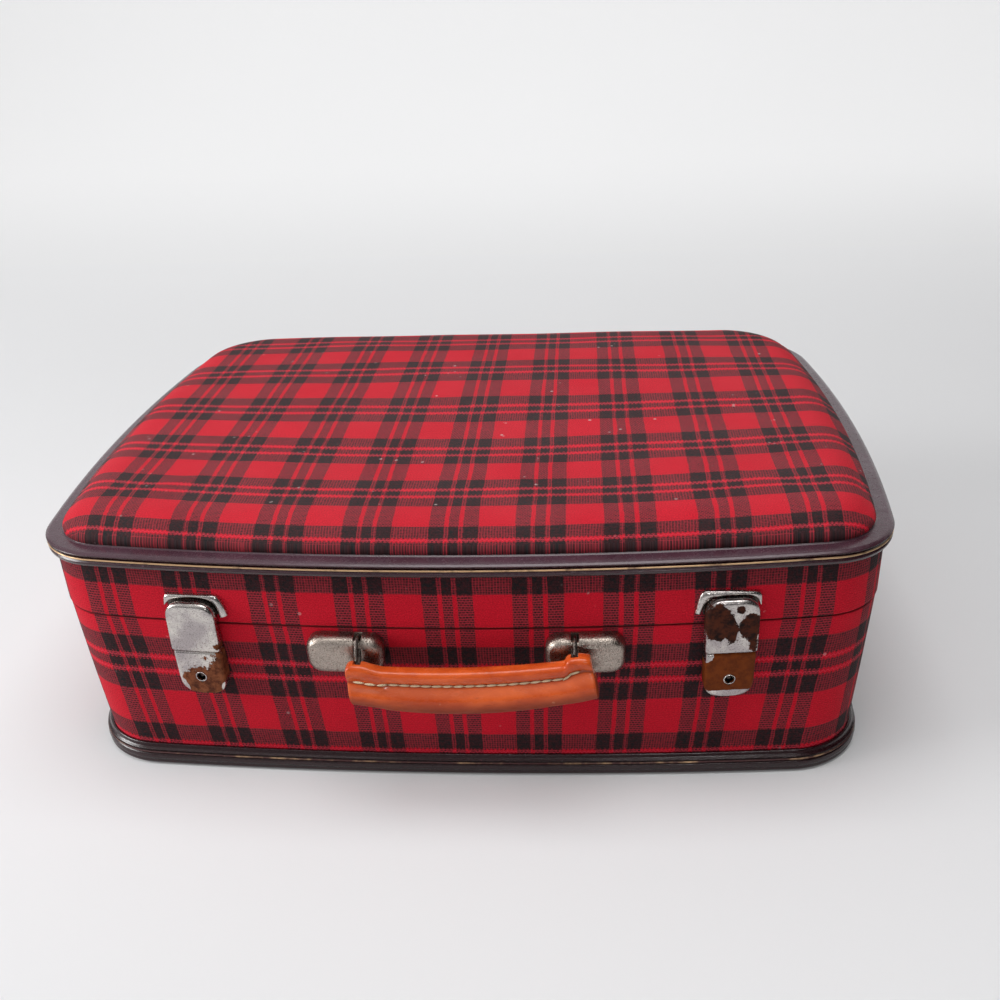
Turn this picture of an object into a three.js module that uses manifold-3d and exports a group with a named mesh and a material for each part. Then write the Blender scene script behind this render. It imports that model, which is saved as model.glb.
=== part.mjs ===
// A small padded suitcase: two board shells covered in checked cloth, bound at
// their edges, hinged at the back, with two key latches and a leather handle.
// Millimetres. +Z is up, the handle side faces -Y, the origin is the middle of
// the underside.
import * as THREE from 'three';
import { mergeVertices } from 'three/addons/utils/BufferGeometryUtils.js';
import Module from 'manifold-3d';

const wasm = await Module();
wasm.setup();

// Driving dimensions of the case
const caseWidth = 448;
const caseDepth = 334;
const rimHeight = 98;
const lidHeight = 39;
const crownRise = 16.5;
const frontBow = 18;
const backBow = 1;
const sideBow = 14;
const frontCornerRadius = 36;
const backCornerRadius = 53;

// The foot of the base is drawn in from its rim, and its sides are straighter
const footSideInset = 8;
const footFrontInset = 9.5;
const footBackInset = 7;
const footFrontBow = 9;
const footSideBow = 8;
const footFrontCornerRadius = 40;

// Layers of the walls, from the outside in
const clothThickness = 1;
const boardThickness = 3;
const liningThickness = 0.8;
const seatGap = 0.3;
const partingGap = 0.7;
const lidClothProud = 0.5;

// Dust lip inside the rim of the base
const lipThickness = 1.2;
const lipRise = 7;
const lipFootShare = 0.81;
const lipShoulder = 0.6;

// Plastic binding round the foot and round the top of the lid
const bindingOverhang = 4.9;
const bindingFlange = 5.6;
const flangeThickness = 2;
const footBindingHeight = 12.6;
const lidBindingHeight = 7.3;
const trimRadius = 0.75;
const trimGrooveGap = 0.3;
const footTrimHeight = 8.2;
const lidTrimDrop = 3.4;

// Outline steps along a half side, a corner and a half end
const sideSteps = 2;
const cornerSteps = 5;
const endSteps = 4;

// Materials
function finish(colour, roughness, metalness) {
  return new THREE.MeshStandardMaterial({ color: colour, roughness, metalness });
}
const clothRed = () => finish(0xb01028, 0.9, 0);
const bindingMaroon = () => finish(0x36181f, 0.4, 0);
const trimGold = () => finish(0xb09068, 0.45, 0.3);
const boardBrown = () => finish(0x8a6a48, 0.85, 0);
const liningPaper = () => finish(0xc9b48e, 0.9, 0);
const waddingWhite = () => finish(0xe6e0d2, 1, 0);
const wornChrome = () => finish(0xb4b0aa, 0.3, 1);
const dullSteel = () => finish(0x8c8a88, 0.45, 1);
const tanLeather = () => finish(0xb8531c, 0.35, 0);

// Closed bodies
function closedBody(points, faces) {
  let volume = 0;
  for (const [a, b, c] of faces) {
    const cross = new THREE.Vector3().crossVectors(points[b], points[c]);
    volume += points[a].dot(cross);
  }
  const indices = faces.flatMap(([a, b, c]) => (volume < 0 ? [a, c, b] : [a, b, c]));
  const geometry = new THREE.BufferGeometry();
  const coordinates = points.flatMap((point) => [point.x, point.y, point.z]);
  geometry.setAttribute('position', new THREE.Float32BufferAttribute(coordinates, 3));
  geometry.setIndex(indices);
  return geometry;
}

// Joins rings of points in order. A closed skin runs from the last ring back to
// the first, and an open one gets a fan of faces over each end. Each four-sided
// patch is split the same way whether the rings rise or fall, so that layers
// which lie on each other stay parallel.
function loft(rings, closes) {
  const count = rings[0].length;
  const points = rings.flat();
  const faces = [];
  const bands = closes ? rings.length : rings.length - 1;
  for (let band = 0; band < bands; band += 1) {
    const near = band * count;
    const far = ((band + 1) % rings.length) * count;
    const rises = points[near].z <= points[far].z;
    for (let step = 0; step < count; step += 1) {
      const next = (step + 1) % count;
      faces.push([near + step, near + next, rises ? far + next : far + step]);
      faces.push([rises ? near + step : near + next, far + next, far + step]);
    }
  }
  if (!closes) {
    [0, rings.length - 1].forEach((index) => {
      const middle = new THREE.Vector3();
      rings[index].forEach((point) => middle.addScaledVector(point, 1 / count));
      points.push(middle);
      for (let step = 0; step < count; step += 1) {
        const here = index * count + step;
        const next = index * count + ((step + 1) % count);
        const face = [here, next, points.length - 1];
        faces.push(index === 0 ? face.reverse() : face);
      }
    });
  }
  return closedBody(points, faces);
}

function toSolid(geometry) {
  const bare = geometry.clone();
  bare.deleteAttribute('normal');
  bare.deleteAttribute('uv');
  const merged = mergeVertices(bare);
  return new wasm.Manifold(new wasm.Mesh({
    numProp: 3,
    vertProperties: new Float32Array(merged.attributes.position.array),
    triVerts: new Uint32Array(merged.index.array),
  }));
}

function toGeometry(solid) {
  const mesh = solid.getMesh();
  const geometry = new THREE.BufferGeometry();
  geometry.setAttribute('position', new THREE.BufferAttribute(mesh.vertProperties, 3));
  geometry.setIndex(new THREE.BufferAttribute(mesh.triVerts, 1));
  return geometry;
}

function join(...geometries) {
  return toGeometry(geometries.map(toSolid).reduce((whole, piece) => whole.add(piece)));
}

function cut(geometry, ...tools) {
  return toGeometry(tools.map(toSolid).reduce((whole, tool) => whole.subtract(tool), toSolid(geometry)));
}

function block(x0, x1, y0, y1, z0, z1) {
  const geometry = new THREE.BoxGeometry(x1 - x0, y1 - y0, z1 - z0);
  return geometry.translate((x0 + x1) / 2, (y0 + y1) / 2, (z0 + z1) / 2);
}

// A round bar along X
function barX(radius, x0, x1, y, z, sides = 12) {
  const geometry = new THREE.CylinderGeometry(radius, radius, Math.abs(x1 - x0), sides);
  return geometry.rotateZ(Math.PI / 2).translate((x0 + x1) / 2, y, z);
}

// A round bar along Y
function barY(radius, x, y0, y1, z, sides = 16) {
  const geometry = new THREE.CylinderGeometry(radius, radius, Math.abs(y1 - y0), sides);
  return geometry.translate(x, (y0 + y1) / 2, z);
}

const suitcase = new THREE.Group();

function place(name, geometry, material, holder = suitcase) {
  const piece = new THREE.Mesh(geometry, material);
  piece.name = name;
  holder.add(piece);
  return piece;
}

// Plan of the case: eight arcs, one for each side and each corner, tangent where
// they meet. Steps carry the outward normal, so a step moved along its normal
// stays on a parallel outline.
function quarterPlan(halfWidth, halfDepth, endBow, flankBow, cornerRadius) {
  const endRadius = (halfWidth ** 2 + endBow ** 2) / (2 * endBow);
  const sideRadius = (halfDepth ** 2 + flankBow ** 2) / (2 * flankBow);
  const endCentre = new THREE.Vector2(0, halfDepth - endRadius);
  const sideCentre = new THREE.Vector2(halfWidth - sideRadius, 0);
  const span = sideCentre.clone().sub(endCentre);
  const distance = span.length();
  const toEnd = endRadius - cornerRadius;
  const toSide = sideRadius - cornerRadius;
  const along = (toEnd ** 2 - toSide ** 2 + distance ** 2) / (2 * distance);
  const across = Math.sqrt(toEnd ** 2 - along ** 2);
  const unit = span.divideScalar(distance);
  const corner = endCentre.clone().addScaledVector(unit, along);
  corner.add(new THREE.Vector2(unit.y, -unit.x).multiplyScalar(across));
  const sideAngle = corner.clone().sub(sideCentre).angle();
  const endAngle = corner.clone().sub(endCentre).angle();
  const arcs = [
    [sideCentre, sideRadius, 0, sideAngle, sideSteps],
    [corner, cornerRadius, sideAngle, endAngle, cornerSteps],
    [endCentre, endRadius, endAngle, Math.PI / 2, endSteps],
  ];
  const steps = arcs.flatMap(([centre, radius, from, to, count]) =>
    Array.from({ length: count }, (_, index) => {
      const angle = from + ((to - from) * index) / count;
      const normal = new THREE.Vector2(Math.cos(angle), Math.sin(angle));
      return { spot: centre.clone().addScaledVector(normal, radius), normal };
    }));
  steps.push({ spot: new THREE.Vector2(0, halfDepth), normal: new THREE.Vector2(0, 1) });
  const endReach = (x) => endCentre.y + Math.sqrt(endRadius ** 2 - x ** 2);
  const sideReach = (y) => sideCentre.x + Math.sqrt(sideRadius ** 2 - y ** 2);
  return { steps, endReach, sideReach };
}

function mirrorStep({ spot, normal }, signX, signY) {
  const sign = new THREE.Vector2(signX, signY);
  return { spot: spot.clone().multiply(sign), normal: normal.clone().multiply(sign) };
}

function casePlan(halfWidth, frontReach, backReach, bows, corners) {
  const back = quarterPlan(halfWidth, backReach, bows.back, bows.side, corners.back);
  const front = quarterPlan(halfWidth, frontReach, bows.front, bows.side, corners.front);
  const backRight = back.steps;
  const backLeft = back.steps.slice(1, -1).reverse().map((step) => mirrorStep(step, -1, 1));
  const frontLeft = front.steps.slice(0, -1).map((step) => mirrorStep(step, -1, -1));
  const frontRight = front.steps.slice(1).reverse().map((step) => mirrorStep(step, 1, -1));
  return { steps: [...backRight, ...backLeft, ...frontLeft, ...frontRight], back, front };
}

const rimPlan = casePlan(
  caseWidth / 2,
  caseDepth / 2,
  caseDepth / 2,
  { back: backBow, front: frontBow, side: sideBow },
  { back: backCornerRadius, front: frontCornerRadius },
);
const footPlan = casePlan(
  caseWidth / 2 - footSideInset,
  caseDepth / 2 - footFrontInset,
  caseDepth / 2 - footBackInset,
  { back: backBow, front: footFrontBow, side: footSideBow },
  { back: backCornerRadius, front: footFrontCornerRadius },
);

// Share of the way from the foot outline to the rim outline at a height
function riseShare(z) {
  return THREE.MathUtils.clamp(z / rimHeight, 0, 1);
}

function wallRing(inset, z) {
  const share = riseShare(z);
  return rimPlan.steps.map((rim, index) => {
    const foot = footPlan.steps[index];
    const spot = foot.spot.clone().lerp(rim.spot, share);
    const normal = foot.normal.clone().lerp(rim.normal, share).normalize();
    spot.addScaledVector(normal, -inset);
    return new THREE.Vector3(spot.x, spot.y, z);
  });
}

// A band round the case, from a closed profile of inset and height
function band(profile) {
  return loft(profile.map(([inset, z]) => wallRing(inset, z)), true);
}

// Heights at which the sloping wall has a row of points
const wallLevelShares = [0.13, 0.46, lipFootShare];

function wallColumn(inset, low, high) {
  const between = wallLevelShares.map((share) => share * rimHeight).filter((z) => z > low && z < high);
  return [low, ...between, high].map((z) => [inset, z]);
}

function wallLayer(outer, inner, low, high) {
  return band([...wallColumn(outer, low, high), ...wallColumn(inner, low, high).reverse()]);
}

// A disc or a cup, from a profile that starts and ends at the middle
function cup(profile) {
  return loft(profile.map(([inset, z]) => wallRing(inset, z)), false);
}

function frontWallY(x, z) {
  const share = riseShare(z);
  return -THREE.MathUtils.lerp(footPlan.front.endReach(x), rimPlan.front.endReach(x), share);
}

function backWallY(x, z) {
  const share = riseShare(z);
  return THREE.MathUtils.lerp(footPlan.back.endReach(x), rimPlan.back.endReach(x), share);
}

function sideWallX(y, z) {
  const plan = y > 0 ? 'back' : 'front';
  const share = riseShare(z);
  return THREE.MathUtils.lerp(footPlan[plan].sideReach(y), rimPlan[plan].sideReach(y), share);
}

// Layers as insets from the outline
const boardOuter = clothThickness + seatGap;
const boardInner = boardOuter + boardThickness;
const liningOuter = boardInner + seatGap;
const liningInner = liningOuter + liningThickness;
const lipOuter = liningInner + seatGap;
const baseRim = rimHeight - partingGap / 2;
const lidRim = rimHeight + partingGap / 2;
const footTop = flangeThickness + seatGap;
const flangeTop = rimHeight + lidHeight;
const flangeUnder = flangeTop - flangeThickness;
const lidWallTop = flangeUnder - seatGap;

// Base shell
function buildBase() {
  const panelTop = footTop + boardThickness;
  place('base_bottom_cloth', cup([
    [bindingFlange + seatGap, 0],
    [bindingFlange + seatGap, flangeThickness],
  ]), clothRed());
  place('base_bottom_board', cup([
    [liningOuter, footTop],
    [liningOuter, panelTop],
  ]), boardBrown());
  place('base_wall_board', wallLayer(boardOuter, boardInner, footTop, baseRim), boardBrown());
  place('base_wall_cloth', wallLayer(0, clothThickness, footTop, baseRim), clothRed());
  const liningFoot = panelTop + seatGap;
  place('base_lining', cup([
    ...wallColumn(liningOuter, liningFoot, baseRim),
    ...wallColumn(liningInner, liningFoot + liningThickness, baseRim).reverse(),
  ]), liningPaper());
  place('base_dust_lip', band([
    [lipOuter, rimHeight * lipFootShare],
    [lipOuter, baseRim],
    [lipOuter + lipShoulder, baseRim + partingGap],
    [lipOuter + lipShoulder, rimHeight + lipRise],
    [lipOuter + lipThickness, rimHeight + lipRise],
    [lipOuter + lipThickness, rimHeight * lipFootShare],
  ]), bindingMaroon());
}

// Binding profiles: the first number is a share of the overhang, the second a
// share of the binding's height
const footBindingShares = [[0.5, 0], [1, 0.14], [0.84, 0.27], [1, 0.36], [0.84, 0.53]];
const footBindingTopShares = [[0.8, 0.77], [0.5, 0.85], [0.32, 1]];
const lidBindingTopShares = [[0.62, 1], [1, 0.86]];
const lidBindingLowShares = [[0.93, 0.25], [0.8, 0]];
const lidBeadShares = [[1, 0.2], [0.88, 0.5], [0.74, 0.15], [0.66, 0]];

function trimRing(inset, z) {
  const sides = 5;
  return Array.from({ length: sides }, (_, index) => {
    const angle = (index * Math.PI * 2) / sides;
    return [inset + trimRadius * Math.cos(angle), z + trimRadius * Math.sin(angle)];
  });
}

function buildFootBinding() {
  const atWall = -seatGap;
  const out = (share) => -share * bindingOverhang;
  const grooveHalf = trimRadius + trimGrooveGap;
  const trimInset = out(1) + trimRadius * 1.5;
  const grooveInset = trimInset + grooveHalf;
  place('base_binding', band([
    [bindingFlange, 0],
    ...footBindingShares.map(([side, height]) => [out(side), height * footBindingHeight]),
    [grooveInset, footTrimHeight - grooveHalf],
    [grooveInset, footTrimHeight + grooveHalf],
    ...footBindingTopShares.map(([side, height]) => [out(side), height * footBindingHeight]),
    [atWall, footBindingHeight],
    [atWall, flangeThickness],
    [bindingFlange, flangeThickness],
  ]), bindingMaroon());
  place('base_trim_line', band(trimRing(trimInset, footTrimHeight)), trimGold());
}

function buildLidBinding() {
  const atWall = -lidClothProud - seatGap;
  const out = (share) => -share * bindingOverhang;
  const bottom = flangeTop - lidBindingHeight;
  const up = (share) => bottom + share * lidBindingHeight;
  const trimHeight = flangeTop - lidTrimDrop;
  const grooveHalf = trimRadius + trimGrooveGap;
  const trimInset = out(1) + trimRadius;
  const grooveInset = trimInset + grooveHalf;
  const bead = (width, height) => [width * bindingFlange, flangeTop + height * flangeThickness];
  place('lid_binding', band([
    [bindingFlange, flangeUnder],
    ...lidBeadShares.map(([width, height]) => bead(width, height)),
    ...lidBindingTopShares.map(([side, height]) => [out(side), up(height)]),
    [grooveInset, trimHeight + grooveHalf],
    [grooveInset, trimHeight - grooveHalf],
    ...lidBindingLowShares.map(([side, height]) => [out(side), up(height)]),
    [atWall, bottom],
    [atWall, flangeUnder],
  ]), bindingMaroon());
  place('lid_trim_line', band(trimRing(trimInset, trimHeight)), trimGold());
}

// Lid shell
function buildLid() {
  const panelTop = lidWallTop - seatGap;
  const panelUnder = lidWallTop - boardThickness;
  const liningTop = panelUnder - seatGap;
  place('lid_wall_board', band([
    [boardOuter, lidRim],
    [boardOuter, lidWallTop],
    [boardInner, lidWallTop],
    [boardInner, lidRim],
  ]), boardBrown());
  place('lid_wall_cloth', band([
    [-lidClothProud, lidRim],
    [-lidClothProud, lidWallTop],
    [clothThickness, lidWallTop],
    [clothThickness, lidRim],
  ]), clothRed());
  place('lid_top_board', cup([
    [liningOuter, panelUnder],
    [liningOuter, panelTop],
  ]), boardBrown());
  place('lid_lining', cup([
    [liningOuter, liningTop],
    [liningOuter, lidRim],
    [liningInner, lidRim],
    [liningInner, liningTop - liningThickness],
  ]), liningPaper());
}

// Padded top of the lid: rolled over at its edge and gently crowned. Each row
// is a share of the roll's width, a share of the rise, and how far the ring is
// drawn in to the middle.
const crownRollWidth = 24;
const crownRows = [
  { rollShare: 0, riseShare: 0, spreadShare: 1 },
  { rollShare: 0.02, riseShare: 0.22, spreadShare: 1 },
  { rollShare: 0.12, riseShare: 0.5, spreadShare: 1 },
  { rollShare: 0.4, riseShare: 0.76, spreadShare: 1 },
  { rollShare: 1, riseShare: 0.89, spreadShare: 1 },
  { rollShare: 1, riseShare: 0.96, spreadShare: 0.62 },
  { rollShare: 1, riseShare: 1, spreadShare: 0.3 },
];

function crownRings(inset, foot, rise) {
  return crownRows.map((row) => {
    const ring = wallRing(inset + row.rollShare * crownRollWidth, foot + row.riseShare * rise);
    const spread = new THREE.Vector3(row.spreadShare, row.spreadShare, 1);
    return ring.map((point) => point.multiply(spread));
  });
}

function buildCrown() {
  const foot = flangeTop - flangeThickness;
  const edge = bindingFlange + seatGap;
  const rise = crownRise + flangeThickness;
  const outside = crownRings(edge, foot, rise).reverse();
  const inside = crownRings(edge + clothThickness, foot, rise - clothThickness);
  place('lid_top_cloth', loft([...outside, ...inside], false), clothRed());
  const padEdge = edge + clothThickness + seatGap;
  const pad = crownRings(padEdge, foot, rise - clothThickness - seatGap);
  place('lid_top_wadding', loft(pad, false), waddingWhite());
}

// Hinges on the back wall
const hingeSpacing = 250;
const hingeWidth = 44;
const leafHeight = 22;
const leafThickness = 1.2;
const knuckleRadius = 2.7;
const hingePinRadius = 1.4;
const pinClearance = 0.3;
const knuckleGap = 0.4;
const middleKnuckleShare = 0.4;
const leafRivetRadius = 2.2;
const leafRivetRise = 0.9;
const leafRivetInset = 6;
const hingeAxisY = caseDepth / 2 + lidClothProud + seatGap + knuckleRadius;

// A plate that lies along the back wall
function backPlate(x0, x1, z0, z1, out0, out1) {
  const steps = 4;
  const sections = Array.from({ length: steps + 1 }, (_, index) => {
    const x = THREE.MathUtils.lerp(x0, x1, index / steps);
    const at = (z, out) => new THREE.Vector3(x, backWallY(x, z) + out, z);
    return [at(z0, out0), at(z1, out0), at(z1, out1), at(z0, out1)];
  });
  return loft(sections, false);
}

function leafRivet(x, z, out) {
  const dome = new THREE.SphereGeometry(leafRivetRadius, 8, 4);
  dome.scale(1, leafRivetRise / leafRivetRadius, 1);
  return dome.translate(x, backWallY(x, z) + out, z);
}

function buildHinge(side, x) {
  const half = hingeWidth / 2;
  const middle = half * middleKnuckleShare;
  const out0 = seatGap;
  const lidOut0 = lidClothProud + seatGap;
  const knuckle = (x0, x1) => barX(knuckleRadius, x0, x1, hingeAxisY, rimHeight);
  const boreRadius = hingePinRadius + pinClearance;
  const bore = barX(boreRadius, x - hingeWidth, x + hingeWidth, hingeAxisY, rimHeight);
  const webBack = hingeAxisY - hingePinRadius;
  const web = (x0, x1, z0, z1) => block(x0, x1, hingeAxisY - knuckleRadius, webBack, z0, z1);
  const clearHalf = knuckleRadius + knuckleGap;
  const leafTop = rimHeight - clearHalf;
  const baseFace = out0 + leafThickness + lidClothProud;
  const baseParts = [backPlate(x - half, x + half, leafTop - leafHeight, leafTop, out0, baseFace)];
  [[x - half, x - middle], [x + middle, x + half]].forEach(([x0, x1]) => {
    baseParts.push(knuckle(x0, x1));
    baseParts.push(web(x0, x1, leafTop - clearHalf, rimHeight));
  });
  [-1, 1].forEach((sign) => {
    const spot = x + sign * (half - leafRivetInset);
    baseParts.push(leafRivet(spot, leafTop - leafHeight / 2, baseFace));
  });
  place(`hinge_base_leaf_${side}`, cut(join(...baseParts), bore), dullSteel());
  const lidFoot = rimHeight + clearHalf;
  const inner = middle - knuckleGap;
  const lidParts = [
    backPlate(x - half, x + half, lidFoot, lidFoot + leafHeight, lidOut0, lidOut0 + leafThickness),
    knuckle(x - inner, x + inner),
    web(x - inner, x + inner, rimHeight, lidFoot + clearHalf),
  ];
  [-1, 1].forEach((sign) => {
    const spot = x + sign * (half - leafRivetInset);
    lidParts.push(leafRivet(spot, lidFoot + leafHeight / 2, lidOut0 + leafThickness));
  });
  place(`hinge_lid_leaf_${side}`, cut(join(...lidParts), bore), dullSteel());
  const pin = barX(hingePinRadius, x - half, x + half, hingeAxisY, rimHeight);
  place(`hinge_pin_${side}`, pin, dullSteel());
}

// Lid stays: each is a parallel linkage beside a side wall. The lower arm keeps
// parallel to the line from the hinge to the lid pivot.
const stayLowerRun = 80;
const stayLowerDrop = 58;
const stayUpperRun = 94.5;
const stayUpperRise = 14.5;
const stayWallInset = 17.7;
const stayThickness = 1.4;
const stayWidth = 9;
const stayArmGap = 0.4;
const studRadius = 2;
const studHeadRadius = 3.4;
const studHeadHeight = 0.8;
const bracketHalfLength = 8;
const bracketHalfHeight = 5.5;
const bracketThickness = 1.2;
const bracketSeat = 0.6;
const stayPlane = caseWidth / 2 - stayWallInset;

const stayBasePivot = { y: hingeAxisY - stayLowerRun, z: rimHeight - stayLowerDrop };
const stayLidPivot = { y: hingeAxisY - stayUpperRun, z: rimHeight + stayUpperRise };
const stayKnuckle = {
  y: hingeAxisY - stayLowerRun - stayUpperRun,
  z: rimHeight - stayLowerDrop + stayUpperRise,
};

// A flat arm with round ends and an eye at each end, drawn in the YZ plane
function stayArm(from, to, x0) {
  const half = stayWidth / 2;
  const angle = Math.atan2(to.z - from.z, to.y - from.y);
  const shape = new THREE.Shape();
  shape.absarc(from.y, from.z, half, angle + Math.PI / 2, angle + Math.PI * 1.5, false);
  shape.absarc(to.y, to.z, half, angle - Math.PI / 2, angle + Math.PI / 2, false);
  [from, to].forEach((eye) => {
    const hole = new THREE.Path();
    hole.absarc(eye.y, eye.z, studRadius + pinClearance, 0, Math.PI * 2, true);
    shape.holes.push(hole);
  });
  const arm = new THREE.ExtrudeGeometry(shape, {
    depth: stayThickness,
    bevelEnabled: false,
    curveSegments: 5,
  });
  arm.applyMatrix4(new THREE.Matrix4().set(0, 0, 1, 0, 1, 0, 0, 0, 0, 1, 0, 0, 0, 0, 0, 1));
  return arm.translate(x0, 0, 0);
}

// A plate that lies on the lining of the right side wall, with a headed stud
function stayBracket(pivot, studEnd) {
  const steps = 2;
  const outer = liningInner + bracketSeat;
  const inner = outer + bracketThickness;
  const sections = Array.from({ length: steps + 1 }, (_, index) => {
    const y = pivot.y + THREE.MathUtils.lerp(-bracketHalfLength, bracketHalfLength, index / steps);
    const at = (z, inset) => new THREE.Vector3(sideWallX(y, z) - inset, y, z);
    const low = pivot.z - bracketHalfHeight;
    const high = pivot.z + bracketHalfHeight;
    return [at(low, outer), at(high, outer), at(high, inner), at(low, inner)];
  });
  const root = sideWallX(pivot.y, pivot.z) - (outer + inner) / 2;
  return join(
    loft(sections, false),
    barX(studRadius, studEnd, root, pivot.y, pivot.z, 12),
    barX(studHeadRadius, studEnd - studHeadHeight, studEnd, pivot.y, pivot.z, 12),
  );
}

// A solid that is carried to the other side of the case
function mirrored(geometry) {
  const copy = geometry.index ? geometry.toNonIndexed() : geometry.clone();
  copy.deleteAttribute('normal');
  copy.deleteAttribute('uv');
  copy.scale(-1, 1, 1);
  const merged = mergeVertices(copy);
  merged.setIndex(Array.from(merged.index.array).reverse());
  return merged;
}

function buildStays() {
  const lowerX = stayPlane;
  const upperX = stayPlane - stayThickness - stayArmGap;
  const lowerEnd = lowerX - stayArmGap;
  const upperEnd = upperX - stayArmGap;
  const rivet = join(
    barX(studRadius, upperEnd, lowerX + stayThickness + stayArmGap, stayKnuckle.y, stayKnuckle.z, 12),
    barX(studHeadRadius, upperEnd - studHeadHeight, upperEnd, stayKnuckle.y, stayKnuckle.z, 12),
    barX(
      studHeadRadius,
      lowerX + stayThickness + stayArmGap,
      lowerX + stayThickness + stayArmGap + studHeadHeight,
      stayKnuckle.y,
      stayKnuckle.z,
      12,
    ),
  );
  const pieces = {
    stay_base_bracket: stayBracket(stayBasePivot, lowerEnd),
    stay_lid_bracket: stayBracket(stayLidPivot, upperEnd),
    stay_lower_arm: stayArm(stayBasePivot, stayKnuckle, lowerX),
    stay_upper_arm: stayArm(stayLidPivot, stayKnuckle, upperX),
    stay_rivet: rivet,
  };
  Object.entries(pieces).forEach(([name, geometry]) => {
    place(`${name}_right`, geometry, dullSteel());
    place(`${name}_left`, mirrored(geometry), dullSteel());
  });
}

// Latches: a key case with a hinged hasp above it, and a hooded keeper on the
// lid. Each stands square to the wall, in a frame whose origin is where the
// hasp's pin line meets the wall, with -Y outwards.
const latchSpacing = 271;
const latchShift = 1.2;
const latchJointDrop = 11.5;
const latchCaseHeight = 29.5;
const latchWidth = 25.4;
const latchWall = 1;
const latchDepth = 8.1;
const latchFootRadius = 8;
const latchBevel = 1;
const latchPlateThickness = 1;
const latchPlateMargin = 1.4;
const latchPinRadius = 0.9;
const latchKnuckleRadius = 1.9;
const latchPinOut = 6.7;
const earThickness = 1.2;
const earInset = 2.2;
const springShare = 0.34;
const haspHeight = 28.4;
const haspWidth = 26;
const haspLean = 4;
const haspBackOut = 2.7;
const haspCornerRadius = 5;
const haspBevel = 1.4;
const hookWidth = 8;
const hookRise = 16;
const hookHeight = 5;
const hookThickness = 1.2;
const keyholeDrop = 18;
const keyholeRadius = 2.6;
const keyPostRadius = 0.9;
const keySlotWidth = 1.4;
const keySlotDrop = 4;
const boltWidth = 12;
const boltHeight = 9;
const boltThickness = 1.2;
const boltTravel = 2.5;
const boltBackGap = 0.5;
const latchJointHeight = rimHeight - latchJointDrop;
const latchFootHeight = latchJointHeight - latchCaseHeight;

// A U-shaped outline with a square top and round lower corners, or the other
// way up, in the XZ plane
function tongueShape(width, low, high, radius, roundTop) {
  const half = width / 2;
  const shape = new THREE.Shape();
  if (roundTop) {
    shape.moveTo(half, low);
    shape.lineTo(half, high - radius);
    shape.absarc(half - radius, high - radius, radius, 0, Math.PI / 2, false);
    shape.absarc(radius - half, high - radius, radius, Math.PI / 2, Math.PI, false);
    shape.lineTo(-half, low);
  } else {
    shape.moveTo(-half, high);
    shape.lineTo(-half, low + radius);
    shape.absarc(radius - half, low + radius, radius, Math.PI, Math.PI * 1.5, false);
    shape.absarc(half - radius, low + radius, radius, Math.PI * 1.5, Math.PI * 2, false);
    shape.lineTo(half, high);
  }
  return shape;
}

// Extrudes a shape of the XZ plane outwards, from one depth to a greater one,
// with a bevel round its outer face
function extrudeOut(shape, from, to, bevel) {
  const solid = new THREE.ExtrudeGeometry(shape, {
    depth: to - from - 2 * bevel,
    bevelEnabled: bevel > 0,
    bevelThickness: bevel,
    bevelSize: bevel,
    bevelOffset: -bevel,
    bevelSegments: 2,
    curveSegments: 4,
  });
  solid.translate(0, 0, bevel);
  return solid.rotateX(Math.PI / 2).translate(0, -from, 0);
}

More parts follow.
